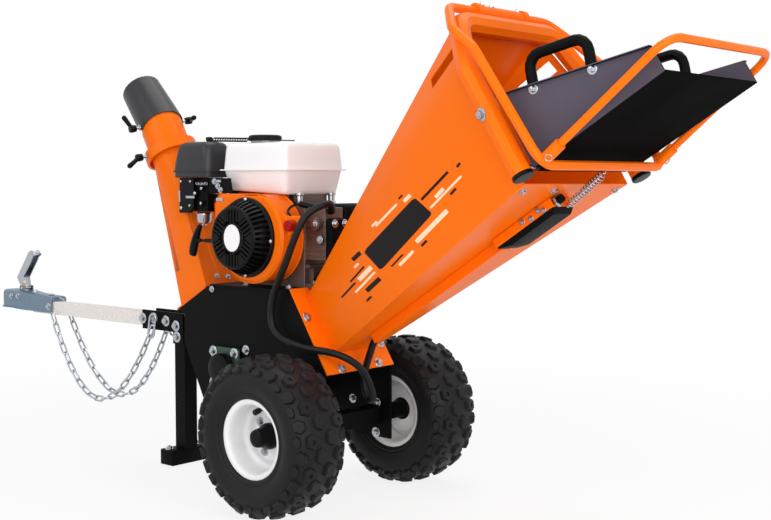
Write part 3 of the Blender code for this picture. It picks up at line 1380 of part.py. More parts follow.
def stop_switch():
    frame = frame_on(hopper(0, 0, 0), HOPPER_AXIS, ALONG_Y)
    top = HOPPER_FLOOR - GAP
    half = SWITCH_BOX_WIDTH / 2
    end = SWITCH_BOX_START + SWITCH_BOX_LENGTH

    def under(name, d_low, d_high, y, half_width, depth):
        up = 1 if frame.to_3x3().col[2].dot(HOPPER_UP) > 0 else -1
        low, high = sorted((up * (top - depth), up * top))
        return framed_box(name, frame, (d_low, y - half_width, low), (d_high, y + half_width, high))

    made = under("switch_box", SWITCH_BOX_START, end, SWITCH_BOX_Y, half, SWITCH_BOX_DEPTH)
    keep(bevelled(made, GAP * 8), BLACK)
    made = under("cable_channel", CHANNEL_START, SWITCH_BOX_START - GAP, SWITCH_BOX_Y, CHANNEL_WIDTH / 2,
                 CHANNEL_DEPTH)
    keep(made, ORANGE)
    seat = hopper(end + GAP, SWITCH_BOX_Y, SPRING_SEAT_H)
    bar = mouth(BAR_LOW_OUT, SWITCH_BOX_Y, BAR_LOW)
    reach = (bar - seat).normalized()
    foot, top = seat + reach * SPRING_RADIUS / 2, bar - reach * (BAR_RADIUS + 3 * GAP)
    keep(rod("return_spring", foot, top, SPRING_RADIUS), ZINC)


def cords():
    front = DRAWBAR_TUBE / 2 + GAP + COUPLING_WALL + CHAIN_RADIUS + GAP
    back = max(STAND_TUBE, DRAWBAR_TUBE) / 2 + GAP + BRACKET_PLATE + CHAIN_RADIUS + GAP
    for side, sign, (start, end) in (("near", -1, CHAIN_NEAR_SPAN), ("far", 1, CHAIN_FAR_SPAN)):
        points = []
        for i in range(CHAIN_STEPS + 1):
            share = i / CHAIN_STEPS
            out = front + (back - front) * share + CHAIN_SPREAD * sin(pi * share)
            drop = 4 * CHAIN_SAG * share * (1 - share)
            points.append((start + (end - start) * share, sign * out, CHAIN_TOP - drop))
        path = smooth_route(points, 2.5 * CHAIN_RADIUS)
        keep(tube("safety_chain_" + side, path, CHAIN_RADIUS, CORD_SIDES), ZINC)
    head = CASE_RIGHT + HEAD_REACH + GAP
    gland = [Vector((head + out, *CONDUIT_ROUTE[0][1:])) for out in (0, CONDUIT_RADIUS)]
    inlet_h = HOPPER_FLOOR - GAP - CHANNEL_DEPTH / 2
    inlet = [hopper(CHANNEL_START - GAP - back, SWITCH_BOX_Y, inlet_h) for back in (CONDUIT_RADIUS, 0)]
    path = smooth_route((gland[1], *CONDUIT_ROUTE[1:], inlet[0]), 2.6 * CONDUIT_RADIUS)
    path = [gland[0], *path, inlet[1]]
    keep(tube("wiring_conduit", path, CONDUIT_RADIUS, CORD_SIDES), BLACK)


def main():
    wheels()
    axle()
    side_plates()
    chamber_shell()
    engine_deck()
    stand()
    drawbar()
    brackets()
    coupling()
    rotor()
    anvil()
    bearings()
    belt_drive()
    crank()
    crankcase()
    fan_housing()
    recoil()
    fuel_tank()
    intake()
    exhaust()
    engine_switch()
    lower_chute()
    spout()
    hopper_shell()
    mouth_frame()
    safety_bar()
    feed_tray()
    stop_switch()
    cords()


main()
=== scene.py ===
"""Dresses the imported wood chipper: finishes, the pieces its solids only block out, camera and stage."""

import json
from functools import cache
from itertools import product
from math import atan2, cos, pi, radians, sin, tau

import bmesh
import bpy
from bpy.props import FloatProperty, FloatVectorProperty, IntProperty, PointerProperty
from bpy.types import Operator, Panel, PropertyGroup
from mathutils import Matrix, Vector
from mathutils.bvhtree import BVHTree

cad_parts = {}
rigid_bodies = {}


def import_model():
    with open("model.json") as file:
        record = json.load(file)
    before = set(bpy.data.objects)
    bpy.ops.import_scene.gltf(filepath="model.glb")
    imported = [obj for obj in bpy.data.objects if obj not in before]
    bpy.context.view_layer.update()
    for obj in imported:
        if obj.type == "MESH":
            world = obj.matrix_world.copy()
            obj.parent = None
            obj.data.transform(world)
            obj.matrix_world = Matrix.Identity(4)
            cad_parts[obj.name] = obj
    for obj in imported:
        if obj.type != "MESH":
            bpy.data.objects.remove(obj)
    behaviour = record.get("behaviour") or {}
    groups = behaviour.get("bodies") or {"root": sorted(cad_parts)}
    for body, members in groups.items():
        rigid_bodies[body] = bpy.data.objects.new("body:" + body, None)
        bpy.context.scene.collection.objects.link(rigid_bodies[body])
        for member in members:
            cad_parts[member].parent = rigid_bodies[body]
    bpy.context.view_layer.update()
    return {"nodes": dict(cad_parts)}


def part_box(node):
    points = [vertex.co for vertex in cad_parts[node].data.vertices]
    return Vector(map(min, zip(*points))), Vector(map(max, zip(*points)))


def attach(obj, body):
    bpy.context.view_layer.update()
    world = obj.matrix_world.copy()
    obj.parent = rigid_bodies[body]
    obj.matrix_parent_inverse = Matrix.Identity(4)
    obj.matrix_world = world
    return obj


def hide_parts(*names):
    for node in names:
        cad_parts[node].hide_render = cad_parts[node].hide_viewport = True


bl_info = {
    "name": "Wood chipper dress",
    "version": (1, 0, 0),
    "blender": (4, 5, 0),
    "location": "View3D > Sidebar > Chipper",
    "description": "Builds the finishes and detailed pieces of a towed wood chipper on its packed frame",
    "category": "Object",
}

for left_over in list(bpy.data.objects):
    bpy.data.objects.remove(left_over)
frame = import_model()
NODES = frame["nodes"]

# Shapes are worked out in millimetres and scaled into the scene's metres. The cords' routes are in metres.
MM = 0.001
UP, REAR, NEAR, FAR = (0, 0, 1), (1, 0, 0), (0, -1, 0), (0, 1, 0)

CAMERA_PLACE = Vector((2.53, -2.111, 0.733))
CAMERA_TURN = (radians(90 - 3.64), 0.0, radians(41))
CAMERA_LENS_MM = 58.97
SENSOR_MM = 36.0
PHOTO_SIZE = (771, 520)
# Half the side of the studio floor, in metres.
FLOOR_HALF = 9

# Middles of the axle, drum shaft and crankshaft, a wheel's place on the axle, and the tread's radius.
AXLE = Vector((560, 0, 177.5))
DRUM = Vector((300, 0, 290))
CRANK = Vector((380, 0, 600))
WHEEL_OUT = 227.5
TREAD_TOP = 177.4
SIDES = {"near": -1, "far": 1}

# The hopper's own frame, from its flange on the chamber to its mouth.
HOPPER_TILT = radians(32.5)
HOPPER_FLANGE = Vector((593, 0, 345))
HOPPER_ALONG = Vector((cos(HOPPER_TILT), 0, sin(HOPPER_TILT)))
HOPPER_UP = Vector((-sin(HOPPER_TILT), 0, cos(HOPPER_TILT)))
MOUTH = 733
# How far the switch box, the cable channel and the return spring lie off the middle plane.
BOX_SIDE = -8

# The safety chains' bow: height of its ends, sag, span, and how far out its front, back and belly lie.
CHAIN_TOP = 0.352
CHAIN_SAG = 0.216
CHAIN_SPANS = {"near": (-0.534, -0.079), "far": (-0.543, -0.099)}
CHAIN_OUT = (0.0316, 0.0346, 0.008)
CHAIN_PARTS = 120

# The conduit's route from its gland to the cable channel.
CONDUIT_ROUTE = ((0.5623, -0.038, 0.662), (0.5698, -0.038, 0.662), (0.596, -0.080, 0.680),
                 (0.573, -0.121, 0.658), (0.557, -0.139, 0.617), (0.525, -0.142, 0.550),
                 (0.474, -0.135, 0.462), (0.477, -0.133, 0.394), (0.556, -0.131, 0.363),
                 (0.642, -0.098, 0.349), (0.670, -0.050, 0.312), (0.674, -0.018, 0.252),
                 (0.656, -0.009, 0.238), (0.638, -0.006, 0.262), (0.638, -0.006, 0.300))
# Rounds of averaging that ease the conduit's line where it leaves its gland and enters the channel.
CONDUIT_EASE = 20

# Ways up the chute, across the deflector's hinge and along its throw.
CHUTE_UP = Vector((-0.5, 0.0, 0.8660254))
HINGE_ACROSS = Vector((-0.27479, -0.94832, -0.15865))
HINGE_THROW = Vector((-0.82127, 0.3173, -0.47416))

# Bolts seen in the photo: the node that carries them, whether the far side has twins, and for each bolt its
# pixel and its width across flats.
BOLTS_SEEN = (("drawbar_bracket_near", True,
               ((143, 318, 15), (154, 318, 15), (166, 321, 15), (176, 326, 15), (177, 337, 15))),
              ("near_side_plate", True, ((246, 350, 12), (212, 289, 8))),
              ("lower_chute", True, ((217, 276, 7.5), (228, 277, 7.5))),
              ("far_side_plate", False, ((377, 402, 12), (376, 432, 13), (353, 398, 12))))
# Corners of the hopper's bare plate, and its plain strips by both ends and width, in the photo's pixels.
PLATE_CORNERS = ((363.6, 251.6), (414.4, 197.4), (432.5, 213.7), (380.8, 270.5))
PALE_STRIPS = ((430.5, 208.0, 461.4, 176.0, 2.2), (416.5, 242.0, 447.4, 210.4, 4.6),
               (376.0, 226.0, 397.0, 204.0, 2.2), (359.0, 280.0, 371.5, 267.0, 4.6),
               (355.5, 292.5, 375.0, 272.0, 2.2), (435.5, 197.5, 443.5, 188.5, 3.6),
               (404.0, 201.5, 410.5, 195.0, 3.6), (372.0, 226.5, 377.0, 221.5, 2.2),
               (399.5, 265.5, 413.5, 251.0, 3.0), (354.5, 267.5, 358.5, 263.5, 2.2))
DARK_STRIPS = ((421.4, 199.8, 448.0, 171.8, 2.6), (457.0, 167.0, 460.0, 163.0, 2.6),
               (366.7, 291.0, 380.0, 278.4, 4.6), (341.7, 297.4, 355.4, 282.6, 1.8),
               (352.6, 260.0, 360.4, 252.5, 4.2), (450.5, 194.5, 456.0, 188.5, 2.4),
               (398.8, 198.8, 402.2, 195.2, 1.8), (421.5, 246.0, 426.8, 240.5, 2.4),
               (391.5, 266.5, 402.8, 254.5, 1.6), (350.5, 281.8, 364.0, 266.6, 1.8),
               (366.8, 301.0, 371.4, 296.4, 2.2))


def linear(code):
    """Linear red, green and blue of an sRGB hex colour."""
    values = [int(code[i:i + 2], 16) / 255 for i in (1, 3, 5)]
    return tuple(v / 12.92 if v <= 0.04045 else ((v + 0.055) / 1.055) ** 2.4 for v in values)


def tint(name, text, code):
    """A colour property with an sRGB hex default."""
    return FloatVectorProperty(name=name, description=text, subtype="COLOR", size=3, min=0, max=1,
                               default=linear(code))


def length(name, text, millimetres):
    """A length property in millimetres."""
    return FloatProperty(name=name, description=f"{text}, in millimetres", min=0.1, default=millimetres)


class ChipperSizes(PropertyGroup):
    """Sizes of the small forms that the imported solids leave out."""

    tread_pitches: IntProperty(name="Tread pitches", description="Repeats of the tread round a tyre",
                               default=15, min=6)
    knob_height: length("Knob height", "How far the tread knobs stand off the carcass", 7.2)
    link_length: length("Link length", "Outer length of a chain link", 41)
    link_width: length("Link width", "Outer width of a chain link", 18)
    link_wire: length("Link wire", "Wire diameter of a chain link", 5.2)
    conduit_ridge: length("Conduit ridge", "Spacing of the ridges of the corrugated conduit", 4.2)
    conduit_diameter: length("Conduit diameter", "Outer diameter of the corrugated conduit", 17)
    spring_wire: length("Spring wire", "Wire diameter of the bar's return spring", 2.6)
    bolt_across: length("Bolt size", "Width across the flats of the frame bolts", 15)
    sheet_edge: length("Sheet edge", "Rounding on the cut edges of the sheet metal", 0.7)
    tube_edge: length("Tube edge", "Outer corner radius of the square tubes", 1.3)


class ChipperColours(PropertyGroup):
    """Colours of the finishes."""

    orange: tint("Orange", "Powder coat of the hopper, chute and tubes", "#f87006")
    black: tint("Black", "Powder coat of the chamber and stand", "#0a0a0b")
    tray_black: tint("Tray black", "Gloss paint of the feed tray", "#070708")
    # Painted reflection: the violet grey that the glossy wings of the feed tray show of the bright studio.
    tray_wing_reflection: tint("Tray inside", "Scuffed paint on the inside of the feed tray", "#57525e")
    charcoal: tint("Charcoal", "Air filter cover and deflector", "#2b2b2e")
    rim_white: tint("Rim white", "Enamel of the wheel rims", "#eeeeee")
    bar_white: tint("Drawbar white", "Primer coat of the drawbar", "#ece6e2")
    # Painted shade: the bearings' green darkened nearly to black, as the tyre shadows them.
    shaded_bearing_green: tint("Bearing green", "Paint of the bearing housings", "#14372a")
    tank_white: tint("Tank white", "Enamel of the fuel tank", "#f4f2f3")
    rubber: tint("Rubber", "Tyre rubber", "#161618")
    plastic: tint("Black plastic", "Moulded engine covers and knobs", "#070708")
    red: tint("Red plastic", "Engine switch", "#a50c08")
    zinc: tint("Zinc", "Plated fasteners, chain and spring", "#b0b4ba")
    yellow_zinc: tint("Yellow zinc", "Chromate plate of the coupling's latch", "#b39d62")
    galvanised: tint("Galvanised", "Pressed steel of the tow coupling", "#76899a")
    alloy: tint("Cast alloy", "Engine castings", "#6a5c53")
    steel: tint("Steel", "Machined and ground steel", "#a8a8a8")
    film_cream: tint("Pale film", "Light strips of the hopper decal", "#ffdcb8")
    film_dark: tint("Dark film", "Dark strips and the plate of the hopper decal", "#120b0d")


def hopper(d, y, h):
    """A point d along the hopper from its flange, y across and h up from its floor line."""
    return HOPPER_FLANGE + d * HOPPER_ALONG + h * HOPPER_UP + Vector((0, y, 0))


def mouth(out, y, h):
    """A point out of the hopper's mouth."""
    return hopper(MOUTH + out, y, h)


def seat(origin, along, across=UP):
    """A frame at origin whose Z runs along and whose X leans towards across."""
    z = Vector(along).normalized()
    x = Vector(across) - Vector(across).dot(z) * z
    x = x.normalized() if x.length > 1e-4 else z.orthogonal().normalized()
    return Matrix.Translation(origin) @ Matrix((x, z.cross(x), z)).transposed().to_4x4()


def flip(vector):
    """The same place or direction on the other side of the machine."""
    return Vector((vector[0], -vector[1], vector[2]))


def corners(node):
    """Lowest and highest corner of a CAD node."""
    low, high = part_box(node)
    return Vector(low) / MM, Vector(high) / MM


@cache
def skin(node):
    """The surface of a CAD node, ready to be hit by a ray."""
    shape = NODES[node].data
    return BVHTree.FromPolygons([v.co for v in shape.vertices], [p.vertices for p in shape.polygons])


def seen(node, column, row):
    """Where the photo's pixel meets a CAD node: the point on its surface, and the way that surface faces."""
    focal = PHOTO_SIZE[0] * CAMERA_LENS_MM / SENSOR_MM
    ray = Vector(((column - PHOTO_SIZE[0] / 2) / focal, (PHOTO_SIZE[1] / 2 - row) / focal, -1))
    ray.rotate(Matrix.Rotation(CAMERA_TURN[2], 3, "Z") @ Matrix.Rotation(CAMERA_TURN[0], 3, "X"))
    point, normal, _, _ = skin(node).ray_cast(CAMERA_PLACE, ray.normalized())
    if point is None:
        raise RuntimeError(f"pixel {column}, {row} misses {node}")
    return point / MM, normal if normal.dot(ray) < 0 else -normal


def loft(bm, rings, closed=False):
    """Skins a row of rings with quads, and caps its ends unless the row closes on itself."""
    made = [[bm.verts.new(point) for point in ring] for ring in rings]
    for low, high in zip(made, made[1:] + made[:1] if closed else made[1:]):
        for i, vert in enumerate(low):
            j = (i + 1) % len(low)
            bm.faces.new((vert, low[j], high[j], high[i]))
    if not closed:
        bm.faces.new(made[0][::-1])
        bm.faces.new(made[-1])


def polar(radius, turn, height=0):
    """A point at a radius and a turn about Z, and at a height."""
    return Vector((radius * cos(turn), radius * sin(turn), height))


def circle(radius, steps):
    """Flat points round a circle about the origin."""
    return [polar(radius, tau * k / steps).to_2d() for k in range(steps)]


def oval(bend, straight, steps):
    """Flat outline of a link: two half circles of radius bend, each straight away from the middle."""
    turns = [tau * (k + 0.5) / steps for k in range(steps)]
    return [(bend * cos(turn), bend * sin(turn) + (straight if sin(turn) > 0 else -straight))
            for turn in turns]


def lathe(bm, profile, where, steps=48, closed=False, teeth=0, tooth=0.0):
    """Turns a profile of (radius, height) about the Z of where; teeth are shallow ribs round it."""
    rings = []
    for radius, height in profile:
        ring = []
        for i in range(steps):
            angle = tau * i / steps
            reach = radius * (1 + tooth * cos(teeth * angle))
            ring.append(where @ polar(reach, angle, height))
        rings.append(ring)
    loft(bm, rings, closed)


def tube(bm, points, radius, sides=12, closed=False, up=None):
    """Sweeps a round section along points; radius is a number, or one for each point."""
    points = [Vector(point) for point in points]
    count = len(points)
    radii = radius if isinstance(radius, (list, tuple)) else [radius] * count
    tangents = []
    for i in range(count):
        before = points[i - 1] if closed or i else points[i]
        after = points[(i + 1) % count] if closed or i < count - 1 else points[i]
        tangents.append((after - before).normalized())
    normal = Vector(up) if up else tangents[0].orthogonal().normalized()
    rings = []
    for i, point in enumerate(points):
        if i and not up:
            normal = tangents[i - 1].rotation_difference(tangents[i]) @ normal
        side = tangents[i].cross(normal).normalized()
        flat = side.cross(tangents[i]).normalized()
        rings.append([point + radii[i] * (x * flat + y * side) for x, y in circle(1, sides)])
    loft(bm, rings, closed)


def prism(bm, outline, depth, where, edge=0.0):
    """Pushes a flat outline up the Z of where, and chamfers its top by edge."""
    centre = sum((Vector(point) for point in outline), Vector((0, 0))) / len(outline)
    reach = max((Vector(point) - centre).length for point in outline)
    levels = [(1, 0), (1, depth - edge), (1 - edge / reach, depth)] if edge else [(1, 0), (1, depth)]
    loft(bm, [[where @ (centre + scale * (Vector(point) - centre)).to_3d()
               + where.to_3x3() @ Vector((0, 0, height)) for point in outline] for scale, height in levels])


def block(bm, low, high, where=Matrix()):
    """A box between two corners of the frame where."""
    outline = [(low[0], low[1]), (high[0], low[1]), (high[0], high[1]), (low[0], high[1])]
    prism(bm, outline, high[2] - low[2], where @ Matrix.Translation((0, 0, low[2])))


def oblong(length_x, length_y, corner, steps=6):
    """A rectangle's outline with round corners, about the origin."""
    outline = []
    for x, y, start in ((1, 1, 0), (-1, 1, 1), (-1, -1, 2), (1, -1, 3)):
        for i in range(steps + 1):
            angle = pi / 2 * (start + i / steps)
            outline.append((x * (length_x / 2 - corner) + corner * cos(angle),
                            y * (length_y / 2 - corner) + corner * sin(angle)))
    return outline


def rounded(points, radius, steps=6):
    """A bent line whose inner corners are arcs of that radius."""
    points = [Vector(point) for point in points]
    line = [points[0]]
    for a, b, c in zip(points, points[1:], points[2:]):
        to_a, to_c = (a - b).normalized(), (c - b).normalized()
        half = to_a.angle(to_c) / 2
        reach = min(radius / max(1e-6, abs(sin(half) / cos(half))), 0.49 * (a - b).length,
                    0.49 * (c - b).length)
        for i in range(steps + 1):
            t = i / steps
            line.append((1 - t) ** 2 * (b + reach * to_a) + 2 * t * (1 - t) * b
                        + t * t * (b + reach * to_c))
    return line + [points[-1]]


def smooth(points, parts=12):
    """A smooth curve through the points of a route."""
    points = [Vector(point) for point in points]
    points = [2 * points[0] - points[1], *points, 2 * points[-1] - points[-2]]
    curve = []
    for a, b, c, d in zip(points, points[1:], points[2:], points[3:]):
        for i in range(parts):
            t = i / parts
            curve.append(0.5 * (2 * b + t * (c - a) + t * t * (2 * a - 5 * b + 4 * c - d)
                                + t ** 3 * (3 * b - a - 3 * c + d)))
    return curve + [points[-2]]


def evenly(points, spacing):
    """The points of a line read again at even steps along it."""
    total = run_of(points)
    count = max(2, round(total / spacing))
    marks = [total * i / count for i in range(count + 1)]
    line, run, at = [], 0.0, 0
    for a, b in zip(points, points[1:]):
        step = (b - a).length
        while at <= count and marks[at] <= run + step + 1e-9:
            line.append(a.lerp(b, (marks[at] - run) / step if step else 0))
            at += 1
        run += step
    return line


def run_of(points):
    """Length of a line through points."""
    return sum((b - a).length for a, b in zip(points, points[1:]))


def film(bm, node, pixels):
    """A thin film with clipped corners, laid on a node between four pixels of the photo."""
    a, b, c, d = (Vector(pixel) for pixel in pixels)
    rings = []
    for run, share in ((0, 0.84), (0.02, 0.95), (0.06, 1), (0.25, 1), (0.5, 1), (0.75, 1), (0.94, 1),
                       (0.98, 0.95), (1, 0.84)):
        under, over = [], []
        for i in range(5):
            across = 0.5 + share * (i / 4 - 0.5)
            spot = a.lerp(b, run).lerp(d.lerp(c, run), across)
            point, out = seen(node, spot.x, spot.y)
            under.append(point - 0.3 * out)
            over.append(point + 0.5 * out)
        rings.append(over + under[::-1])
    loft(bm, rings)


def hexagon(across):
    """Outline of a hexagon of that width across its flats."""
    return circle(across / 3 ** 0.5, 6)


def bolt(bm, point, out, across=13, stud=0):
    """A hexagon head on a washer, or a nut with its stud through it."""
    where = seat(point, out, (0.2, 0.3, 1))
    washer = 0.95 * across
    lathe(bm, [(0.3 * across, -1), (washer, -1), (washer, 1), (0.93 * washer, 1.6), (0.3 * across, 1.6)],
          where, 20)
    prism(bm, hexagon(across), 0.52 * across, where @ Matrix.Translation((0, 0, 1.4)), 0.1 * across)
    if stud:
        thread = [(0.27 * across * (0.92 + 0.08 * (i % 2)), 0.45 * across + stud * i / 7) for i in range(8)]
        lathe(bm, thread + [(0.16 * across, 0.45 * across + 1.1 * stud)], where, 12)


def bolt_seen(bm, node, column, row, across, stud, twin=True):
    """A bolt where the photo shows one on a node, and its twin on the other side."""
    point, out = seen(node, column, row)
    bolt(bm, point, out, across, stud)
    if twin:
        bolt(bm, flip(point), flip(out), across, stud)


def round_head(bm, point, out, width=12):
    """A domed carriage-bolt or pan-head screw with a dimple for its drive."""
    where = seat(point, out)
    lathe(bm, [(0.5 * width, -0.8), (0.5 * width, 0.06 * width), (0.46 * width, 0.2 * width),
               (0.34 * width, 0.32 * width), (0.2 * width, 0.37 * width), (0.16 * width, 0.24 * width)],
          where, 20)


def soften(made, edge, segments=2, crease=32):
    """Rounds the sharp edges of a piece and keeps its flats flat."""
    bevel = made.modifiers.new("edge", "BEVEL")
    bevel.width = MM * edge
    bevel.segments = segments
    bevel.limit_method = "ANGLE"
    bevel.angle_limit = radians(crease)
    bevel.use_clamp_overlap = False
    bevel.harden_normals = True


def piece(name, bm, material, *stands_for, body="chassis", slot=None, edge=0.0, crease=35):
    """A new piece from a bmesh in millimetres: it rides on a body, and may stand for CAD nodes."""
    bmesh.ops.recalc_face_normals(bm, faces=bm.faces)
    mesh = bpy.data.meshes.new(name)
    bm.transform(Matrix.Scale(MM, 4))
    bm.to_mesh(mesh)
    bm.free()
    mesh.shade_smooth()
    mesh.materials.append(bpy.data.materials[material])
    made = bpy.data.objects.new(name, mesh)
    bpy.context.scene.collection.objects.link(made)
    if edge:
        soften(made, edge)
    else:
        mesh.set_sharp_from_angle(angle=radians(crease))
    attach(made, body)
    if stands_for:
        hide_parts(*stands_for)
    return made


def add(tree, kind, settings=None, links=None):
    """A node of that kind with its settings, on sockets or on itself, and what feeds its sockets."""
    node = tree.nodes.new(kind)
    for key, value in (settings or {}).items():
        if isinstance(key, int) or key in node.inputs:
            node.inputs[key].default_value = value
        else:
            setattr(node, key, value)
    for key, source in (links or {}).items():
        tree.links.new(source, node.inputs[key])
    return node


def welded():
    """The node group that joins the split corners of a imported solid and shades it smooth."""
    group = bpy.data.node_groups.get("welded")
    if group:
        return group
    group = bpy.data.node_groups.new("welded", "GeometryNodeTree")
    for way in ("INPUT", "OUTPUT"):
        group.interface.new_socket("Geometry", in_out=way, socket_type="NodeSocketGeometry")
    shape = add(group, "NodeGroupInput").outputs[0]
    for name in ("custom_normal", "sharp_edge"):
        shape = add(group, "GeometryNodeRemoveAttribute", {"Name": name}, {"Geometry": shape}).outputs[0]
    shape = add(group, "GeometryNodeMergeByDistance", {"Distance": 1e-5}, {"Geometry": shape}).outputs[0]
    shape = add(group, "GeometryNodeSetShadeSmooth", {"Shade Smooth": True}, {"Geometry": shape}).outputs[0]
    add(group, "NodeGroupOutput", None, {0: shape})
    return group


def dress(material, edge, *names, segments=2):
    """Gives CAD nodes a finish, and rounds their sharp edges."""
    for name in names:
        node = NODES[name]
        node.data.materials.clear()
        node.data.materials.append(bpy.data.materials[material])
        node.modifiers.new("weld", "NODES").node_group = welded()
        flats = node.modifiers.new("flats", "DECIMATE")
        flats.decimate_type = "DISSOLVE"
        flats.angle_limit = radians(1)
        soften(node, edge, segments)


def finish(name, colour, rough, drift=0.06, drift_mm=90.0, grain_mm=2.5, depth_mm=0.015, metal=0.0,
           coat=0.0, level=0.5):
    """A material whose colour and gloss drift over drift_mm, with a grain of grain_mm and depth_mm."""
    material = bpy.data.materials.new(name)
    material.use_nodes = True
    tree = material.node_tree
    shader = tree.nodes["Principled BSDF"]
    shader.inputs["Metallic"].default_value = metal
    shader.inputs["Coat Weight"].default_value = coat
    shader.inputs["Coat Roughness"].default_value = 0.08
    if not metal:
        shader.inputs["Specular IOR Level"].default_value = level
    place = add(tree, "ShaderNodeTexCoord").outputs["Object"]
    wave = add(tree, "ShaderNodeTexNoise", {"Scale": 1000 / drift_mm, "Detail": 3.0},
               {"Vector": place}).outputs["Fac"]
    grain = add(tree, "ShaderNodeTexNoise", {"name": "grain", "Scale": 1000 / grain_mm, "Detail": 2.0},
                {"Vector": place}).outputs["Fac"]
    low, high = ([min(1, channel * (1 + sign * drift)) for channel in colour] + [1] for sign in (-1, 1))
    shade = add(tree, "ShaderNodeMix", {"name": "shade", "data_type": "RGBA", 6: low, 7: high},
                {0: wave}).outputs[2]
    gloss = add(tree, "ShaderNodeMapRange", {"name": "gloss", "To Min": 0.8 * rough, "To Max": 1.2 * rough},
                {"Value": wave}).outputs[0]
    bump = add(tree, "ShaderNodeBump", {"name": "bump", "Distance": depth_mm / 1000, "Strength": 1.0},
               {"Height": grain}).outputs[0]
    for socket, source in (("Base Color", shade), ("Roughness", gloss), ("Normal", bump)):
        tree.links.new(source, shader.inputs[socket])
    return tree


def plain_rays(tree):
    """1 for the rays that see the studio as plain white, and 0 for those that only light the chipper."""
    path = add(tree, "ShaderNodeLightPath").outputs
    share = path["Is Camera Ray"]
    for kind in ("Is Glossy Ray", "Is Transmission Ray"):
        share = add(tree, "ShaderNodeMath", {"operation": "MAXIMUM"}, {0: share, 1: path[kind]}).outputs[0]
    return share


class CHIPPER_OT_finishes(Operator):
    """Makes the materials of the chipper"""

    bl_idname = "chipper.finishes"
    bl_label = "Finishes"

    def execute(self, context):
        hue = context.scene.chipper_colours
        # Powder-coated sheet steel: bright and fairly glossy, with orange peel drawn coarser than it is.
        finish("orange_powder_coat", hue.orange, 0.32, 0.05, 160, 3.0, 0.02, coat=0.03, level=0.1)
        # Satin black powder coat: dark, broad highlights and a fine texture.
        finish("black_powder_coat", hue.black, 0.5, 0.12, 120, 1.6, 0.03, level=0.06)
        # Enamel sprayed on sheet: deep black on the floor; on the wings a mottled violet grey, painted
        # reflection of the bright studio in the gloss.
        tree = finish("black_gloss_enamel", hue.tray_black, 0.55, 0.1, 140, 6.0, 0.02, level=0.005)
        facing = add(tree, "ShaderNodeSeparateXYZ", None,
                     {0: tree.nodes["Texture Coordinate"].outputs["Normal"]}).outputs["Y"]
        facing = add(tree, "ShaderNodeMath", {"operation": "ABSOLUTE"}, {0: facing}).outputs[0]
        wing = add(tree, "ShaderNodeMath", {"operation": "GREATER_THAN", 1: 0.5}, {0: facing}).outputs[0]
        low, high = ([share * channel for channel in hue.tray_wing_reflection] + [1] for share in (0.7, 1.3))
        painted_reflection = add(tree, "ShaderNodeMix", {"data_type": "RGBA", 6: low, 7: high},
                    {0: tree.nodes["Noise Texture"].outputs["Fac"]}).outputs[2]
        # Faces turned sideways, the wings, take the painted reflection in place of the black.
        paint = add(tree, "ShaderNodeMix", {"data_type": "RGBA"},
                    {0: wing, 6: tree.nodes["shade"].outputs[2], 7: painted_reflection}).outputs[2]
        tree.links.new(paint, tree.nodes["Principled BSDF"].inputs["Base Color"])
        # Baked white wheel enamel: even and semi-gloss.
        finish("white_wheel_enamel", hue.rim_white, 0.32, 0.02, 60, 3.0, 0.01)
        # Thin off-white primer on rolled tube: matt and a little uneven.
        finish("drawbar_primer", hue.bar_white, 0.5, 0.03, 70, 4.0, 0.004, level=0.02)
        # Brushed-on machine paint over cast iron: lumpy sand-cast skin under gloss green, darkened as painted
        # shade of the tyre's shadow.
        finish("green_cast_iron", hue.shaded_bearing_green, 0.35, 0.15, 30, 3.5, 0.15)
        # Enamelled pressed-steel tank: very smooth white with a clear gloss.
        finish("tank_enamel", hue.tank_white, 0.25, 0.015, 80, 5.0, 0.004, coat=0.1, level=0.3)
        # Vulcanised tyre rubber: matt charcoal with a fine moulded grain and dusty lighter drifts.
        finish("tyre_rubber", hue.rubber, 0.5, 0.3, 35, 1.8, 0.05, level=0.18)
        # Black conduit and belt rubber: matt, nearly even.
        finish("hose_rubber", hue.plastic, 0.5, 0.15, 40, 1.5, 0.03, level=0.25)
        # Moulded polypropylene: satin black with spark-eroded texture.
        finish("moulded_black", hue.plastic, 0.34, 0.1, 60, 1.2, 0.02, level=0.12)
        # The same moulding in charcoal: the filter cover, and the satin paint of the deflector.
        finish("moulded_charcoal", hue.charcoal, 0.36, 0.1, 60, 1.2, 0.02, level=0.3)
        # Glossy moulded ABS button.
        finish("moulded_red", hue.red, 0.3, 0.08, 20, 1.5, 0.01, level=0.15)
        # Bright zinc plate on fasteners and chain: clean bluish metal with a slight cloud.
        finish("bright_zinc", hue.zinc, 0.28, 0.12, 9, 1.0, 0.01, metal=1.0)
        # Yellow chromate over zinc: a straw-gold metal with a slight cloud.
        finish("yellow_zinc", hue.yellow_zinc, 0.35, 0.15, 8, 1.0, 0.01, metal=1.0)
        # Hot-dip galvanised pressing: duller metal with spangle.
        tree = finish("galvanised_steel", hue.galvanised, 0.42, 0.06, 25, 1.5, 0.01, metal=1.0)
        spangle = add(tree, "ShaderNodeTexVoronoi", {"Scale": 1000 / 9.0},
                      {"Vector": tree.nodes["Texture Coordinate"].outputs["Object"]})
        tree.links.new(spangle.outputs["Distance"], tree.nodes["shade"].inputs[0])
        # Pressure-cast aluminium: warm grey, rough sand-like skin that holds a little oil.
        finish("cast_aluminium", hue.alloy, 0.5, 0.35, 22, 1.6, 0.12, metal=0.8)
        # Ground tool steel of drum, knives, shafts and pulleys.
        finish("ground_steel", hue.steel, 0.35, 0.15, 15, 0.8, 0.01, metal=1.0)
        # Printed vinyl film: flat colour with a thin clear coat.
        finish("pale_film", hue.film_cream, 0.35, 0.02, 50, 4.0, 0.005, level=0.2)
        finish("dark_film", hue.film_dark, 0.35, 0.1, 50, 4.0, 0.005, level=0.15)
        return {"FINISHED"}


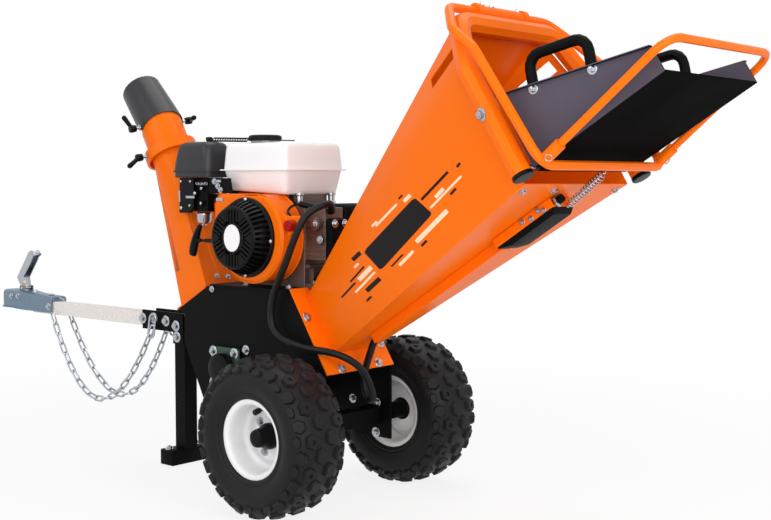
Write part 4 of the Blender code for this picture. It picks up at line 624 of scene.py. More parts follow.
class CHIPPER_OT_camera(Operator):
    """Puts the camera where the photo was taken"""

    bl_idname = "chipper.camera"
    bl_label = "Camera"

    def execute(self, context):
        lens = bpy.data.cameras.new("camera")
        lens.lens = CAMERA_LENS_MM
        lens.sensor_width = SENSOR_MM
        lens.sensor_fit = "HORIZONTAL"
        camera = bpy.data.objects.new("camera", lens)
        camera.location = CAMERA_PLACE
        camera.rotation_euler = CAMERA_TURN
        context.scene.collection.objects.link(camera)
        context.scene.camera = camera
        return {"FINISHED"}


class CHIPPER_OT_stage(Operator):
    """Lays the pale floor and hangs soft studio lights round it"""

    bl_idname = "chipper.stage"
    bl_label = "Stage"

    def execute(self, context):
        scene = context.scene
        scene.view_settings.view_transform = "Standard"
        world = bpy.data.worlds.new("studio")
        world.use_nodes = True
        scene.world = world
        tree = world.node_tree
        tree.nodes.clear()
        plain = plain_rays(tree)
        fill = add(tree, "ShaderNodeBackground", {"Color": (1, 1, 1, 1), "Strength": 0.40}).outputs[0]
        white = add(tree, "ShaderNodeBackground", {"Color": (1, 1, 1, 1), "Strength": 1.0}).outputs[0]
        mixed = add(tree, "ShaderNodeMixShader", None, {0: plain, 1: fill, 2: white}).outputs[0]
        add(tree, "ShaderNodeOutputWorld", None, {"Surface": mixed})

        # Seamless white studio paper, half lit by itself: it stays white and still takes a soft shadow.
        paper = bpy.data.materials.new("studio_paper")
        paper.use_nodes = True
        tree = paper.node_tree
        tree.nodes.clear()
        matt = add(tree, "ShaderNodeBsdfDiffuse", {"Color": (0.9, 0.9, 0.9, 1)}).outputs[0]
        glow = add(tree, "ShaderNodeEmission", {"Color": (1, 1, 1, 1), "Strength": 1.0}).outputs[0]
        plain = plain_rays(tree)
        place = add(tree, "ShaderNodeTexCoord").outputs["Object"]
        away = add(tree, "ShaderNodeVectorMath", {"operation": "DISTANCE", 1: (0.3, 0.0, 0.0)},
                   {0: place}).outputs[1]
        fade = {"From Min": 0.7, "From Max": 2.4, "To Min": 0.84, "To Max": 1.0}
        glowing = add(tree, "ShaderNodeMapRange", fade, {"Value": away}).outputs[0]
        share = add(tree, "ShaderNodeMath", {"operation": "MULTIPLY"}, {0: plain, 1: glowing}).outputs[0]
        mixed = add(tree, "ShaderNodeMixShader", None, {0: share, 1: matt, 2: glow}).outputs[0]
        add(tree, "ShaderNodeOutputMaterial", None, {"Surface": mixed})

        bm = bmesh.new()
        square = ((-1, -1), (1, -1), (1, 1), (-1, 1))
        bm.faces.new([bm.verts.new((FLOOR_HALF * x, FLOOR_HALF * y, 0)) for x, y in square])
        mesh = bpy.data.meshes.new("floor")
        bm.to_mesh(mesh)
        bm.free()
        mesh.materials.append(paper)
        floor = bpy.data.objects.new("floor", mesh)
        scene.collection.objects.link(floor)

        aim = Vector((0.4, 0.0, 0.5))
        lamps = (("key", (-0.2, -3.4, 2.6), 2.4, 41), ("fill", (3.8, -1.0, 1.6), 2.0, 44),
                 ("front", (2.7, -2.7, 1.2), 1.8, 30), ("top", (0.4, 0.6, 3.6), 2.6, 46))
        for name, place, size, watts in lamps:
            lamp = bpy.data.lights.new(name, "AREA")
            lamp.size = size
            lamp.energy = watts
            made = bpy.data.objects.new(name, lamp)
            made.location = place
            made.rotation_euler = (aim - Vector(place)).to_track_quat("-Z", "Y").to_euler()
            scene.collection.objects.link(made)
        return {"FINISHED"}


class CHIPPER_OT_chains(Operator):
    """Hangs the two safety chains, link by link, under the drawbar"""

    bl_idname = "chipper.chains"
    bl_label = "Safety chains"

    def execute(self, context):
        size = context.scene.chipper_sizes
        for side, sign in SIDES.items():
            start, end = CHAIN_SPANS[side]
            front, back, spread = CHAIN_OUT
            line = []
            for i in range(CHAIN_PARTS + 1):
                t = i / CHAIN_PARTS
                out = front + (back - front) * t + spread * sin(pi * t)
                height = CHAIN_TOP - 4 * CHAIN_SAG * t * (1 - t)
                line.append(Vector((start + (end - start) * t, sign * out, height)) / MM)
            pitch = size.link_length - 2 * size.link_wire
            count = round(run_of(line) / pitch)
            marks = evenly(line, run_of(line) / (2 * count))
            bm = bmesh.new()
            bend = (size.link_width - size.link_wire) / 2
            straight = (size.link_length - size.link_wire) / 2 - bend
            for i in range(count):
                a, centre, b = marks[2 * i:2 * i + 3]
                where = seat(centre, b - a, (0.1, 1.0, 0.2) if i % 2 else (1.0, 0.1, 0.2))
                loop = [where @ Vector((x, 0, z)) for x, z in oval(bend, straight, 20)]
                tube(bm, loop, size.link_wire / 2, 8, True, where.to_3x3() @ Vector(FAR))
            chain = piece(f"chain_links_{side}", bm, "bright_zinc", f"safety_chain_{side}")
        return {"FINISHED"}


class CHIPPER_OT_conduit(Operator):
    """Runs the corrugated conduit from the engine down to the hopper's cable channel"""

    bl_idname = "chipper.conduit"
    bl_label = "Wiring conduit"

    def execute(self, context):
        size = context.scene.chipper_sizes
        inlet = [hopper(d, BOX_SIDE, -15.3) for d in (80.2, 87.7)]
        lead, *route = (Vector(point) / MM for point in CONDUIT_ROUTE)
        line = [lead] + smooth([*route, inlet[0]]) + [inlet[1]]
        line = evenly(line, size.conduit_ridge / 2)
        for _ in range(CONDUIT_EASE):
            line[1:-1] = [(a + 2 * b + c) / 4 for a, b, c in zip(line, line[1:], line[2:])]
        line = evenly(line, size.conduit_ridge / 2)
        radius = size.conduit_diameter / 2
        bm = bmesh.new()
        tube(bm, line, [radius * (1 if i % 2 else 0.88) for i in range(len(line))], 14)
        conduit = piece("corrugated_conduit", bm, "hose_rubber", "wiring_conduit", crease=80)
        return {"FINISHED"}


# Outer half of the carcass from its crown to the bead: (distance from the mid-plane, radius).
TREAD_PROFILE = [(0, 170.2), (30, 169.2), (46, 166), (58, 159.2), (66.5, 149), (71, 137), (72, 124),
                 (69.5, 113), (65.5, 105), (65, 102), (62.5, 99), (63.5, 94.5), (61, 89.5), (56.5, 87),
                 (54.5, 80), (52, 76.8)]
# Outline of a knob in shares of its half length and half width.
KNOB_OUTLINE = ((-1, -0.1), (-0.55, -1), (0.5, -1), (1, 0.1), (0.6, 1), (-0.55, 1))


def carcass(across):
    """Radius of the tyre at a distance from its mid-plane, and how far its skin turns to the side there."""
    for (a, high), (b, low) in zip(TREAD_PROFILE, TREAD_PROFILE[1:]):
        if abs(across) <= b:
            share = (abs(across) - a) / (b - a)
            return high + (low - high) * share, atan2(high - low, b - a)
    raise RuntimeError("the knob is off the tread")


def wheel(side):
    """The frame of a wheel, whose Z runs outwards along the axle."""
    sign = SIDES[side]
    return seat(AXLE + Vector((0, sign * WHEEL_OUT, 0)), (0, sign, 0))


class CHIPPER_OT_tyres(Operator):
    """Moulds the two knobbly tyres"""

    bl_idname = "chipper.tyres"
    bl_label = "Tyres"

    def execute(self, context):
        size = context.scene.chipper_sizes
        # Each knob of a pitch: place across the tread and along the pitch, width across, length along, pit.
        knobs = []
        for sign in (1, -1):
            phase = 0 if sign > 0 else 0.5
            knobs += [(15 * sign, phase, 27, 34, 0), (40 * sign, phase + 0.46, 26, 32, 0.36),
                      (60 * sign, phase - 0.02, 24, 30, 0), (65.5 * sign, phase + 0.5, 14, 26, 0)]
        inner = [(46, 76.8), (50, 92), (60, 118), (59, 142), (46, 154), (0, 159)]
        profile = [(r, z) for z, r in TREAD_PROFILE[::-1]] + [(r, -z) for z, r in TREAD_PROFILE[1:]]
        profile += [(r, -z) for z, r in inner] + [(r, z) for z, r in inner[-2::-1]]
        for side in SIDES:
            where = wheel(side)
            bm = bmesh.new()
            lathe(bm, profile, where, 96, closed=True)
            for pitch in range(size.tread_pitches):
                for across, phase, wide, long, pit in knobs:
                    turn = tau * (pitch + phase) / size.tread_pitches
                    radius, lean = carcass(across)
                    lean = lean if across > 0 else -lean
                    outward = polar(cos(lean), turn, sin(lean))
                    along = Vector((-sin(turn), cos(turn), 0))
                    spot = where @ seat(polar(radius, turn, across), outward, along)
                    rise = min(size.knob_height, (TREAD_TOP - radius) / max(cos(lean), 0.5))
                    outline = [(0.5 * long * x, 0.5 * wide * y) for x, y in KNOB_OUTLINE]
                    levels = [(1.12, -4), (1, 0.7 * rise), (0.88, rise)]
                    levels += [(pit, rise), (0.8 * pit, 0.6 * rise)] if pit else []
                    loft(bm, [[spot @ Vector((scale * x, scale * y, height)) for x, y in outline]
                              for scale, height in levels])
            piece(f"knobbly_tyre_{side}", bm, "tyre_rubber", f"tyre_{side}", body=f"wheel_{side}",
                  crease=30)
        return {"FINISHED"}


class CHIPPER_OT_rims(Operator):
    """Presses the deep-dished rims with their nuts, valves and hub caps"""

    bl_idname = "chipper.rims"
    bl_label = "Rims"

    def execute(self, context):
        dish = [(88, 53.5), (88.5, 56), (86, 57), (80, 56.2), (76.5, 54), (74.2, 50), (73, 42), (72.2, 27),
                (71.2, 18), (69, 12), (65, 8.5), (61.2, 6), (58.5, 1), (57.2, -4.5), (55, -7.2), (51, -8),
                (35, -8), (34, -7), (33.5, -2.2), (15.8, -2.2)]
        back = [(15.8, -13.5), (34, -13.5), (52, -13), (60, -8), (69, 2), (71.8, 0), (72.2, -30),
                (73.5, -48), (76.5, -54), (80, -56.2), (86, -57), (88.5, -56), (88, -53.5), (78.5, -50),
                (76.2, -44), (76.2, 44), (78.5, 50)]
        cap = [(28.4, -1.7), (29, 4), (28.2, 10), (25.5, 15), (22.8, 20), (21.2, 28), (20.3, 37),
               (18.8, 42), (15, 44.3), (10, 44.6)]
        for side in SIDES:
            where = wheel(side)
            body = f"wheel_{side}"
            bm = bmesh.new()
            lathe(bm, dish + back, where, 96, closed=True)
            piece(f"dished_rim_{side}", bm, "white_wheel_enamel", f"rim_{side}", body=body, crease=50)
            bm = bmesh.new()
            lathe(bm, [(15.8, -61.8), (19.5, -61.8), (20.2, -60), (20.2, -30), (22.5, -18), (27, -13.8),
                       (15.8, -13.8)], where, 40, closed=True)
            piece(f"hub_sleeve_{side}", bm, "black_powder_coat", body=body)
            bm = bmesh.new()
            lathe(bm, cap, where, 48)
            piece(f"bell_hub_cap_{side}", bm, "moulded_black", f"hub_cap_{side}", body=body)
            bm = bmesh.new()
            for i in range(4):
                foot = polar(45.5, tau * (i + 0.5) / 4 + 0.2, -7.8)
                bolt(bm, where @ foot, where.to_3x3() @ Vector(UP), 11.5, 3)
            piece(f"wheel_nuts_{side}", bm, "bright_zinc", body=body)
            bm = bmesh.new()
            angle = 0.15 if side == "near" else -0.35
            stem = seat(where @ polar(63, angle, 6.5), where.to_3x3() @ polar(-0.25, angle, 1))
            lathe(bm, [(8.2, -2), (8.2, 3), (6, 6), (5, 12), (5, 18), (6.6, 18.5), (6.6, 31), (5.5, 32.5)],
                  stem, 18)
            piece(f"valve_stem_{side}", bm, "hose_rubber", body=body, slot="belt_rubber")
        return {"FINISHED"}


class CHIPPER_OT_frame_steel(Operator):
    """Finishes the chamber, stand, axle and drawbar, and caps the drum's near bearing"""

    bl_idname = "chipper.frame_steel"
    bl_label = "Chamber and stand"

    def execute(self, context):
        size = context.scene.chipper_sizes
        dress("black_powder_coat", size.sheet_edge, "near_side_plate", "far_side_plate", "chamber_shell",
              "engine_deck", "belt_guard", "drawbar_bracket_near", "drawbar_bracket_far")
        dress("black_powder_coat", size.tube_edge, "stand_foot", "stand_leg", "axle", segments=3)
        dress("drawbar_primer", size.tube_edge, "drawbar", segments=3)
        dress("green_cast_iron", 3, "bearing_near", "bearing_far", segments=3)
        dress("ground_steel", 0.6, "drum", "knife_a", "knife_b", "anvil", "crankshaft", "drive_pulley",
              "driven_pulley")
        dress("hose_rubber", 1, "drive_belt")
        low, high = corners("bearing_near")
        middle = (low + high) / 2
        bm = bmesh.new()
        lathe(bm, [(34.5, -14), (35, -12), (35, 1), (33.5, 4.5), (29, 6.2), (12, 6.6)],
              seat((middle.x, low.y, middle.z), NEAR), 40)
        piece("bearing_dust_cap", bm, "moulded_black")
        return {"FINISHED"}


class CHIPPER_OT_fasteners(Operator):
    """Screws on the zinc bolts of the frame, the hopper's flange and the bearings"""

    bl_idname = "chipper.fasteners"
    bl_label = "Bolts and hooks"

    def execute(self, context):
        across = context.scene.chipper_sizes.bolt_across
        bm = bmesh.new()
        for node, twins, bolts in BOLTS_SEEN:
            for column, row, wide in bolts:
                bolt_seen(bm, node, column, row, wide, 3, twins)
        for sign in SIDES.values():
            for x, z in product((-1, 1), repeat=2):
                bolt(bm, DRUM + Vector((36.5 * x, sign * 127.3, 36.5 * z)), (0, sign, 0), 0.9 * across, 4)
            for y, h in ((98, 92), (98, 5), (62, -42)):
                bolt(bm, hopper(4, sign * y, h), HOPPER_ALONG, 0.8 * across)
            bolt(bm, (-4, sign * 46, 40), UP, 0.8 * across, 4)
            for x in (463, 320):
                bolt(bm, (x, 13.8 + sign * 85.8, 484), UP, 0.7 * across, 4)
        guard = corners("belt_guard")[1].y
        for shaft, run, turns in ((DRUM, 82, (200, 270, 340)), (CRANK, 54, (40, 130))):
            for turn in map(radians, turns):
                bolt(bm, shaft + Vector((run * cos(turn), guard, run * sin(turn))), FAR, 0.7 * across)
        piece("frame_bolts", bm, "bright_zinc")

        hook_bolt, _ = seen("drawbar_bracket_near", 154, 318)
        bm = bmesh.new()
        for sign in SIDES.values():
            loop = [(hook_bolt.x + 9 + x + 0.18 * (z - 20), sign * 36.8, hook_bolt.z - 19.5 + z)
                    for x, z in oval(11.8, 20, 32)]
            tube(bm, loop, 3, 10, True, FAR)
        piece("snap_hooks", bm, "bright_zinc")
        return {"FINISHED"}


class CHIPPER_OT_tow_gear(Operator):
    """Finishes the tow coupling and its lever, and adds the latch and pin"""

    bl_idname = "chipper.tow_gear"
    bl_label = "Tow coupling"

    def execute(self, context):
        bm = bmesh.new()
        rings = []
        # The pressed channel from the drawbar to the nose: place, half width, top and lower edge.
        stations = ((-548.5, 26.2, 398.5, 352.5), (-640, 26.2, 402.5, 352.5), (-690, 33.5, 406, 353.5),
                    (-755, 34, 408.5, 357), (-782, 31.5, 408.5, 360), (-795, 24, 404, 360.5),
                    (-803, 13, 395, 361), (-805, 5, 386, 361.2))
        for x, half, top, low in stations:
            wall, corner = min(3.5, 0.3 * half), min(9, 0.6 * half)
            side = [(half, low), (half, top - corner), (half - 0.3 * corner, top - 0.3 * corner),
                    (half - corner, top)]
            under = [(half - corner, top - wall), (half - wall, top - corner), (half - wall, low)]
            outline = [(-y, z) for y, z in side] + side[::-1] + under[::-1] + [(-y, z) for y, z in under]
            rings.append([(x, y, z) for y, z in outline])
        loft(bm, rings)
        lip = [(-695, 33.5), (-715, 37), (-780, 37), (-800, 24)]
        prism(bm, lip + [(-805, 0)] + [(x, -y) for x, y in lip[::-1]], 3.5,
              seat((0, 0, 356.5), UP, REAR))
        for sign in SIDES.values():
            block(bm, (-722, sign * 15 - 1.2, 402), (-698.5, sign * 15 + 1.2, 421.5))
        block(bm, (-553, -23, 384.5), (-548.7, 23, 396.5))
        block(bm, (-805.8, -5.5, 361.2), (-803.5, 5.5, 387))
        piece("pressed_coupling", bm, "galvanised_steel", "coupling_body", edge=0.8)

        bm = bmesh.new()
        cheek = [(-710.3, 407.8), (-716, 410.5), (-742, 444), (-679, 521.5), (-666, 527.5), (-652.5, 523.5),
                 (-644.5, 514), (-658.5, 508.5), (-672, 490), (-708.5, 446), (-703.5, 414.5),
                 (-705.5, 409.7)]
        for y in (-9, 12):
            prism(bm, cheek, 3, seat((0, y, 0), NEAR, REAR))
        along = Vector((63, 0, 77.5)).normalized()
        block(bm, (-10.5, 0, 0), (10.5, 3, 100), seat((-739.5, 0, 443.2), along, FAR))
        tube(bm, [(-658.5, -12.5, 518.5), (-658.5, 12.5, 518.5)], 6.2, 16)
        tube(bm, [(-710.3, -17.5, 414.3), (-710.3, 17.5, 414.3)], 4.2, 14)
        piece("pressed_lever", bm, "bright_zinc", "coupling_lever", body="tow_lever", edge=0.7)
        bm = bmesh.new()
        prism(bm, oblong(15, 13, 4), 3.5, seat((-700.5, -12.4, 423.5), NEAR, REAR), 1)
        piece("latch_block", bm, "yellow_zinc")
        bm = bmesh.new()
        for sign in SIDES.values():
            bolt(bm, (-737.4, sign * 34.2, 390.5), (0, sign, 0), 9)
            bolt(bm, (-703.3, sign * 33.8, 392.5), (0, sign, 0), 9)
            bolt(bm, (-560.6, sign * 26.2, 370.2), (0, sign, 0), 11, 3)
        bolt(bm, (-667.2, 0, 404), UP, 12, 3)
        tube(bm, rounded([(-584.2, -10, 401.2), (-580, 0, 403.5), (-525.2, 2, 388.5)], 8), 2.6, 10)
        piece("coupling_pin", bm, "bright_zinc")
        return {"FINISHED"}


class CHIPPER_OT_chute(Operator):
    """Finishes the discharge chute, its spout, deflector and clamp levers"""

    bl_idname = "chipper.chute"
    bl_label = "Discharge chute"

    def execute(self, context):
        dress("orange_powder_coat", context.scene.chipper_sizes.sheet_edge, "lower_chute", "upper_chute")
        dress("moulded_charcoal", context.scene.chipper_sizes.sheet_edge, "deflector")
        # Each clamp: node, body, foot of its stud, the stud's way out, the arm's way, and the stud's root.
        clamps = (("spout_clamp_left", "clamp_left", (-96.49, -55.19, 866.61), HINGE_ACROSS,
                   CHUTE_UP + 0.3 * HINGE_ACROSS, -8),
                  ("spout_clamp_right", "clamp_right", (-64.51, 55.19, 885.08), -HINGE_ACROSS,
                   -HINGE_THROW - 0.34 * CHUTE_UP, -8),
                  ("collar_clamp", "clamp_collar", (-57.54, -65.72, 792.11), HINGE_ACROSS,
                   HINGE_ACROSS - 0.6 * CHUTE_UP, 0.3))
        for node, body, foot, out, arm, root in clamps:
            where = seat(foot, out, arm)
            reach = arm.normalized()
            knuckle = where @ Vector((0, 0, 21.5))
            bm = bmesh.new()
            lathe(bm, [(6, 11), (8.8, 12), (9.7, 19), (9.7, 27), (8.2, 29.2), (3, 29.6)], where, 24)
            tube(bm, [knuckle + run * reach for run in (0, 12, 26, 35, 40, 42)], [6, 5.5, 6, 6.7, 5.6, 2.8],
                 16)
            piece(f"moulded_{node}", bm, "moulded_black", node, body=body)
            bm = bmesh.new()
            lathe(bm, [(4, root), (4, 0.6), (8.2, 0.6), (8.2, 2.4), (4, 2.4), (4, 11.8)], where, 20)
            piece(f"stud_{node}", bm, "bright_zinc", body=body)
        return {"FINISHED"}


class CHIPPER_OT_hopper(Operator):
    """Finishes the hopper, its mouth tube, safety bar and hoop, and lays its bare plate and plain strips"""

    bl_idname = "chipper.hopper"
    bl_label = "Feed hopper"

    def execute(self, context):
        size = context.scene.chipper_sizes
        dress("orange_powder_coat", size.sheet_edge, "hopper_shell", "cable_channel", "mouth_tube",
              "safety_bar", "bar_sleeve", "feed_hoop")
        inside = seat(HOPPER_FLANGE, HOPPER_UP, HOPPER_ALONG)
        bm = bmesh.new()
        block(bm, (502, -45.5, -24.5), (664, 29.5, -4.5), inside)
        piece("switch_box_cover", bm, "orange_powder_coat", "switch_box", edge=2)
        bm = bmesh.new()
        rings = []
        for h, start, end, inset in ((-24, 504, 662, 0), (-27, 504, 662, 0), (-36.2, 532, 654, 5)):
            outline = oblong(end - start, 73 - 2 * inset, 4)
            rings.append([inside @ Vector(((start + end) / 2 + x, BOX_SIDE + y, h)) for x, y in outline])
        loft(bm, rings)
        tube(bm, [hopper(660, -32, -16), hopper(684, -32, -16)], 8.5, 18)
        piece("switch_box_base", bm, "black_powder_coat", slot="black_plastic")
        bm = bmesh.new()
        for d, h in ((585, -12), (606, -17), (628, -12), (640, -18)):
            bolt(bm, hopper(d, -45.5, h), NEAR, 7, 2)
        prism(bm, hexagon(21.5), 5, seat(hopper(668, -32, -16), HOPPER_ALONG), 1.5)
        piece("switch_box_hardware", bm, "bright_zinc")
        bm = bmesh.new()
        film(bm, "hopper_shell", PLATE_CORNERS)
        piece("hopper_plate", bm, "dark_film")
        for name, strips in (("pale_film", PALE_STRIPS), ("dark_film", DARK_STRIPS)):
            bm = bmesh.new()
            for left, top, right, bottom, wide in strips:
                run = Vector((right - left, bottom - top)).normalized()
                side = wide / 2 * Vector((run.y, -run.x))
                start, end = Vector((left, top)), Vector((right, bottom))
                film(bm, "hopper_shell", (start + side, end + side, end - side, start - side))
            piece(f"hopper_strips_{name}", bm, name)

        bm = bmesh.new()
        for sign in SIDES.values():
            lathe(bm, [(20.8, -4), (21.2, 0), (21.2, 2.2), (19.5, 4.2), (8, 4.6)],
                  seat(mouth(0, sign * 213, 0.3), -HOPPER_UP), 32)
        piece("mouth_end_plugs", bm, "moulded_black")

        bm = bmesh.new()
        bolt_seen(bm, "mouth_tube", 481.5, 114.5, 14, 4)
        for y in (-165, -60, 60, 165):
            bolt(bm, hopper(690, y, -4.3), -HOPPER_UP, 9)
        piece("hopper_bolts", bm, "bright_zinc")

        low, high = corners("bar_sleeve")
        core = (low + high) / 2
        bm = bmesh.new()
        for sign in SIDES.values():
            tube(bm, [(core.x, sign * (high.y - 15), core.z), (core.x, sign * (high.y + 0.5), core.z)],
                 16.3, 28)
        piece("sleeve_collars", bm, "orange_powder_coat", edge=1)
        bm = bmesh.new()
        for y in (-62, -30, 62):
            bolt(bm, (core.x, y, high.z), UP, 7, 6)
        piece("sleeve_screws", bm, "bright_zinc")
        bm = bmesh.new()
        point, out = seen("safety_bar", 548.5, 157.6)
        for spot, way in ((point, out), (flip(point), flip(out))):
            where = seat(spot, way)
            tube(bm, [where @ Vector((x, y, 1.5)) for x, y in circle(6.2, 20)], 1, 8, True)
        piece("spring_clips", bm, "bright_zinc", body="bar")
        return {"FINISHED"}


class CHIPPER_OT_tray(Operator):
    """Finishes the feed tray and its handles, and bolts the handles to its wings"""

    bl_idname = "chipper.tray"
    bl_label = "Feed tray"

    def execute(self, context):
        dress("black_gloss_enamel", 0.6, "feed_tray")
        dress("ground_steel", 0.8, "tray_hinge_pin")
        dress("black_powder_coat", 2, "tray_handle_near", "tray_handle_far")
        bm = bmesh.new()
        for column, row in ((533.3, 89.0), (592.3, 69.0)):
            bolt_seen(bm, "feed_tray", column, row, 11, 3)
        piece("handle_nuts", bm, "bright_zinc", body="tray")
        return {"FINISHED"}


class CHIPPER_OT_tank(Operator):
    """Presses the fuel tank in two halves with a seam flange, and moulds its ribbed cap"""

    bl_idname = "chipper.tank"
    bl_label = "Fuel tank"

    def execute(self, context):
        low, high = corners("fuel_tank")
        middle = (low + high) / 2
        seam = low.z + 54
        # Height from the seam, and how far the skin stands inside the edge of the flange.
        wall = [(-53.5, 27), (-53, 21), (-50, 17), (-44, 15.2), (-30, 12.5), (-6, 7.8), (-1.3, 6.6),
                (-1.3, 0), (1.3, 0), (1.3, 5.6), (6, 6), (48, 9), (56.5, 10.4), (61, 13.5), (63.2, 18),
                (64, 26)]
        bm = bmesh.new()
        rings = []
        for rise, inset in wall:
            corner = 9 if inset == 0 else 15
            outline = oblong(high.x - low.x - 2 * inset, high.y - low.y - 2 * inset, corner)
            slope = 0.05 * max(0, -rise - 1.3) / 53.5
            rings.append([(middle.x + x, middle.y + y, seam + rise - slope * x) for x, y in outline])
        loft(bm, rings)
        piece("pressed_fuel_tank", bm, "tank_enamel", "fuel_tank", crease=50)

        low, high = corners("fuel_cap")
        where = seat(((low.x + high.x) / 2, (low.y + high.y) / 2, low.z), UP)
        bm = bmesh.new()
        lathe(bm, [(33, 0.3), (34, 2), (34, 4.2)], where, 56)
        piece("cap_gasket", bm, "bright_zinc", body="cap")
        bm = bmesh.new()
        lathe(bm, [(36, 4), (38.5, 5.2), (38.8, 13), (37.6, 16), (35.2, 17.2)], where, 160,
              teeth=32, tooth=0.018)
        lathe(bm, [(35, 16), (35, 17.6), (32.5, 18.4), (28, 18), (8, 18.6)], where, 56)
        piece("ribbed_fuel_cap", bm, "moulded_black", "fuel_cap", body="cap")

        # A ladder strap ties the filter's knob to the tank's neck, and its tail runs on past the cap.
        bm = bmesh.new()
        start, end = Vector((192, -60, 830.5)), Vector((300, -46, 827.5))
        wide = Vector((0, 3.5, 3.5))
        for sign in (-1, 1):
            tube(bm, [start + sign * wide, end + sign * wide], 1.9, 8)
        for i in range(15):
            rung = start.lerp(end, i / 14)
            tube(bm, [rung - wide, rung + wide], 1.3, 8)
        tube(bm, smooth([end, (335, -70, 825.5), (385, -52, 825), (442, -30, 823.5)], 8), 1.3, 8)
        piece("tether_strap", bm, "moulded_black")
        return {"FINISHED"}


class CHIPPER_OT_intake(Operator):
    """Moulds the air filter cover and assembles the carburettor, its air box and throttle plate"""

    bl_idname = "chipper.intake"
    bl_label = "Air filter and carburettor"

    def execute(self, context):
        low, high = corners("air_filter_cover")
        low.x -= 10
        middle = (low + high) / 2
        bm = bmesh.new()
        rings = []
        # Share of the height, inset of the skin, and how far the left side leans in.
        levels = ((0, 6, 0), (0.02, 3.5, 0), (0.15, 3, 0), (0.16, 0, 0), (0.20, 0, 1), (0.21, 2.2, 1),
                  (0.60, 3.5, 7), (0.84, 5, 12), (0.93, 8, 15), (0.98, 13.5, 18), (1, 21, 22))
        for share, inset, lean in levels:
            outline = oblong(high.x - low.x - 2 * inset - lean, high.y - low.y - 2 * inset, 19)
            height = low.z + share * (high.z - low.z)
            rings.append([(middle.x + lean / 2 + x, middle.y + y, height) for x, y in outline])
        loft(bm, rings)
        piece("moulded_filter_cover", bm, "moulded_charcoal", "air_filter_cover")
        bm = bmesh.new()
        lathe(bm, [(6, 0), (6, 2), (8, 2.5), (8.2, 9.5), (7, 11.5), (3, 12)],
              seat((182, -63.5, high.z - 0.3), UP), 60, teeth=12, tooth=0.05)
        piece("filter_knob", bm, "moulded_black")

        low, high = corners("carburettor")
        port = Vector((299.7, -30.3, low.z + 29 + 18))
        bm = bmesh.new()
        block(bm, (152, -90, 655.5), (205, -36, 737.7))
        block(bm, (205, -52, 650), (211, -10, 685))
        tube(bm, [Vector((200, port.y, port.z)), port - Vector((8, 0, 0))], 16.5, 24)
        tube(bm, [port - Vector((8, 0, 0)), port], 21.5, 24)
        for x, z, radius in ((166, 700, 8.5), (188, 676, 7), (190, 712, 6)):
            tube(bm, [(x, -88, z), (x, -97, z)], radius, 16)
        piece("carburettor_casting", bm, "black_powder_coat", "carburettor", slot="alloy", edge=2.2)
        bm = bmesh.new()
        prism(bm, [(109, 651.5), (148, 651.5), (163, 664), (163, 737.7), (111.5, 737.7)], 12,
              seat((0, -88.5, 0), NEAR, REAR))
        block(bm, (120, -89, 664), (158, -40, 737.7))
        piece("air_box", bm, "moulded_black", edge=3)
        bm = bmesh.new()
        prism(bm, [(218, 700), (300, 688), (303, 701), (296, 736.5), (220, 737.5)], 3,
              seat((0, -96, 0), NEAR, REAR))
        tube(bm, [(205, -80, 716), (235, -97.5, 716)], 4.5, 12)
        piece("throttle_plate", bm, "black_powder_coat", edge=0.8)

        bm = bmesh.new()
        lathe(bm, [(15, -4), (18, -1), (18.5, 2), (17.8, 4), (17.8, 15), (15, 21.5), (9.5, 24), (5, 24.2)],
              seat((161.5, -64, low.z + 29), (0, 0, -1)), 32)
        bolt(bm, (161.5, -64, low.z + 5.5), (0, 0, -1), 9)
        for x, z, width in ((118.5, 664, 9.5), (118, 729, 7), (153, 729, 7), (150, 670, 7)):
            round_head(bm, (x, -100.5, z), NEAR, width)
        block(bm, (111.5, -102.2, 678), (116.5, -100.3, 706))
        block(bm, (138, -102.2, 688), (170, -100.3, 693.5))
        for x, z, width in ((166, 700, 10), (188, 676, 8.5), (190, 712, 8)):
            round_head(bm, (x, -97.2, z), NEAR, width)
        for x, z in ((240, 729), (252, 718), (262, 708), (288, 694)):
            bolt(bm, (x, -99, z), NEAR, 8)
        block(bm, (242, -100.5, 726.5), (264, -99, 732.5))
        block(bm, (277, -127.2, 683), (301, -125.5, 690.5))
        coil = [(172 + 38 * i / 60, -97 + 3.8 * cos(tau * i / 8), 723.5 + 3.8 * sin(tau * i / 8))
                for i in range(61)]
        tube(bm, coil, 0.7, 6)
        piece("carburettor_hardware", bm, "bright_zinc")
        return {"FINISHED"}


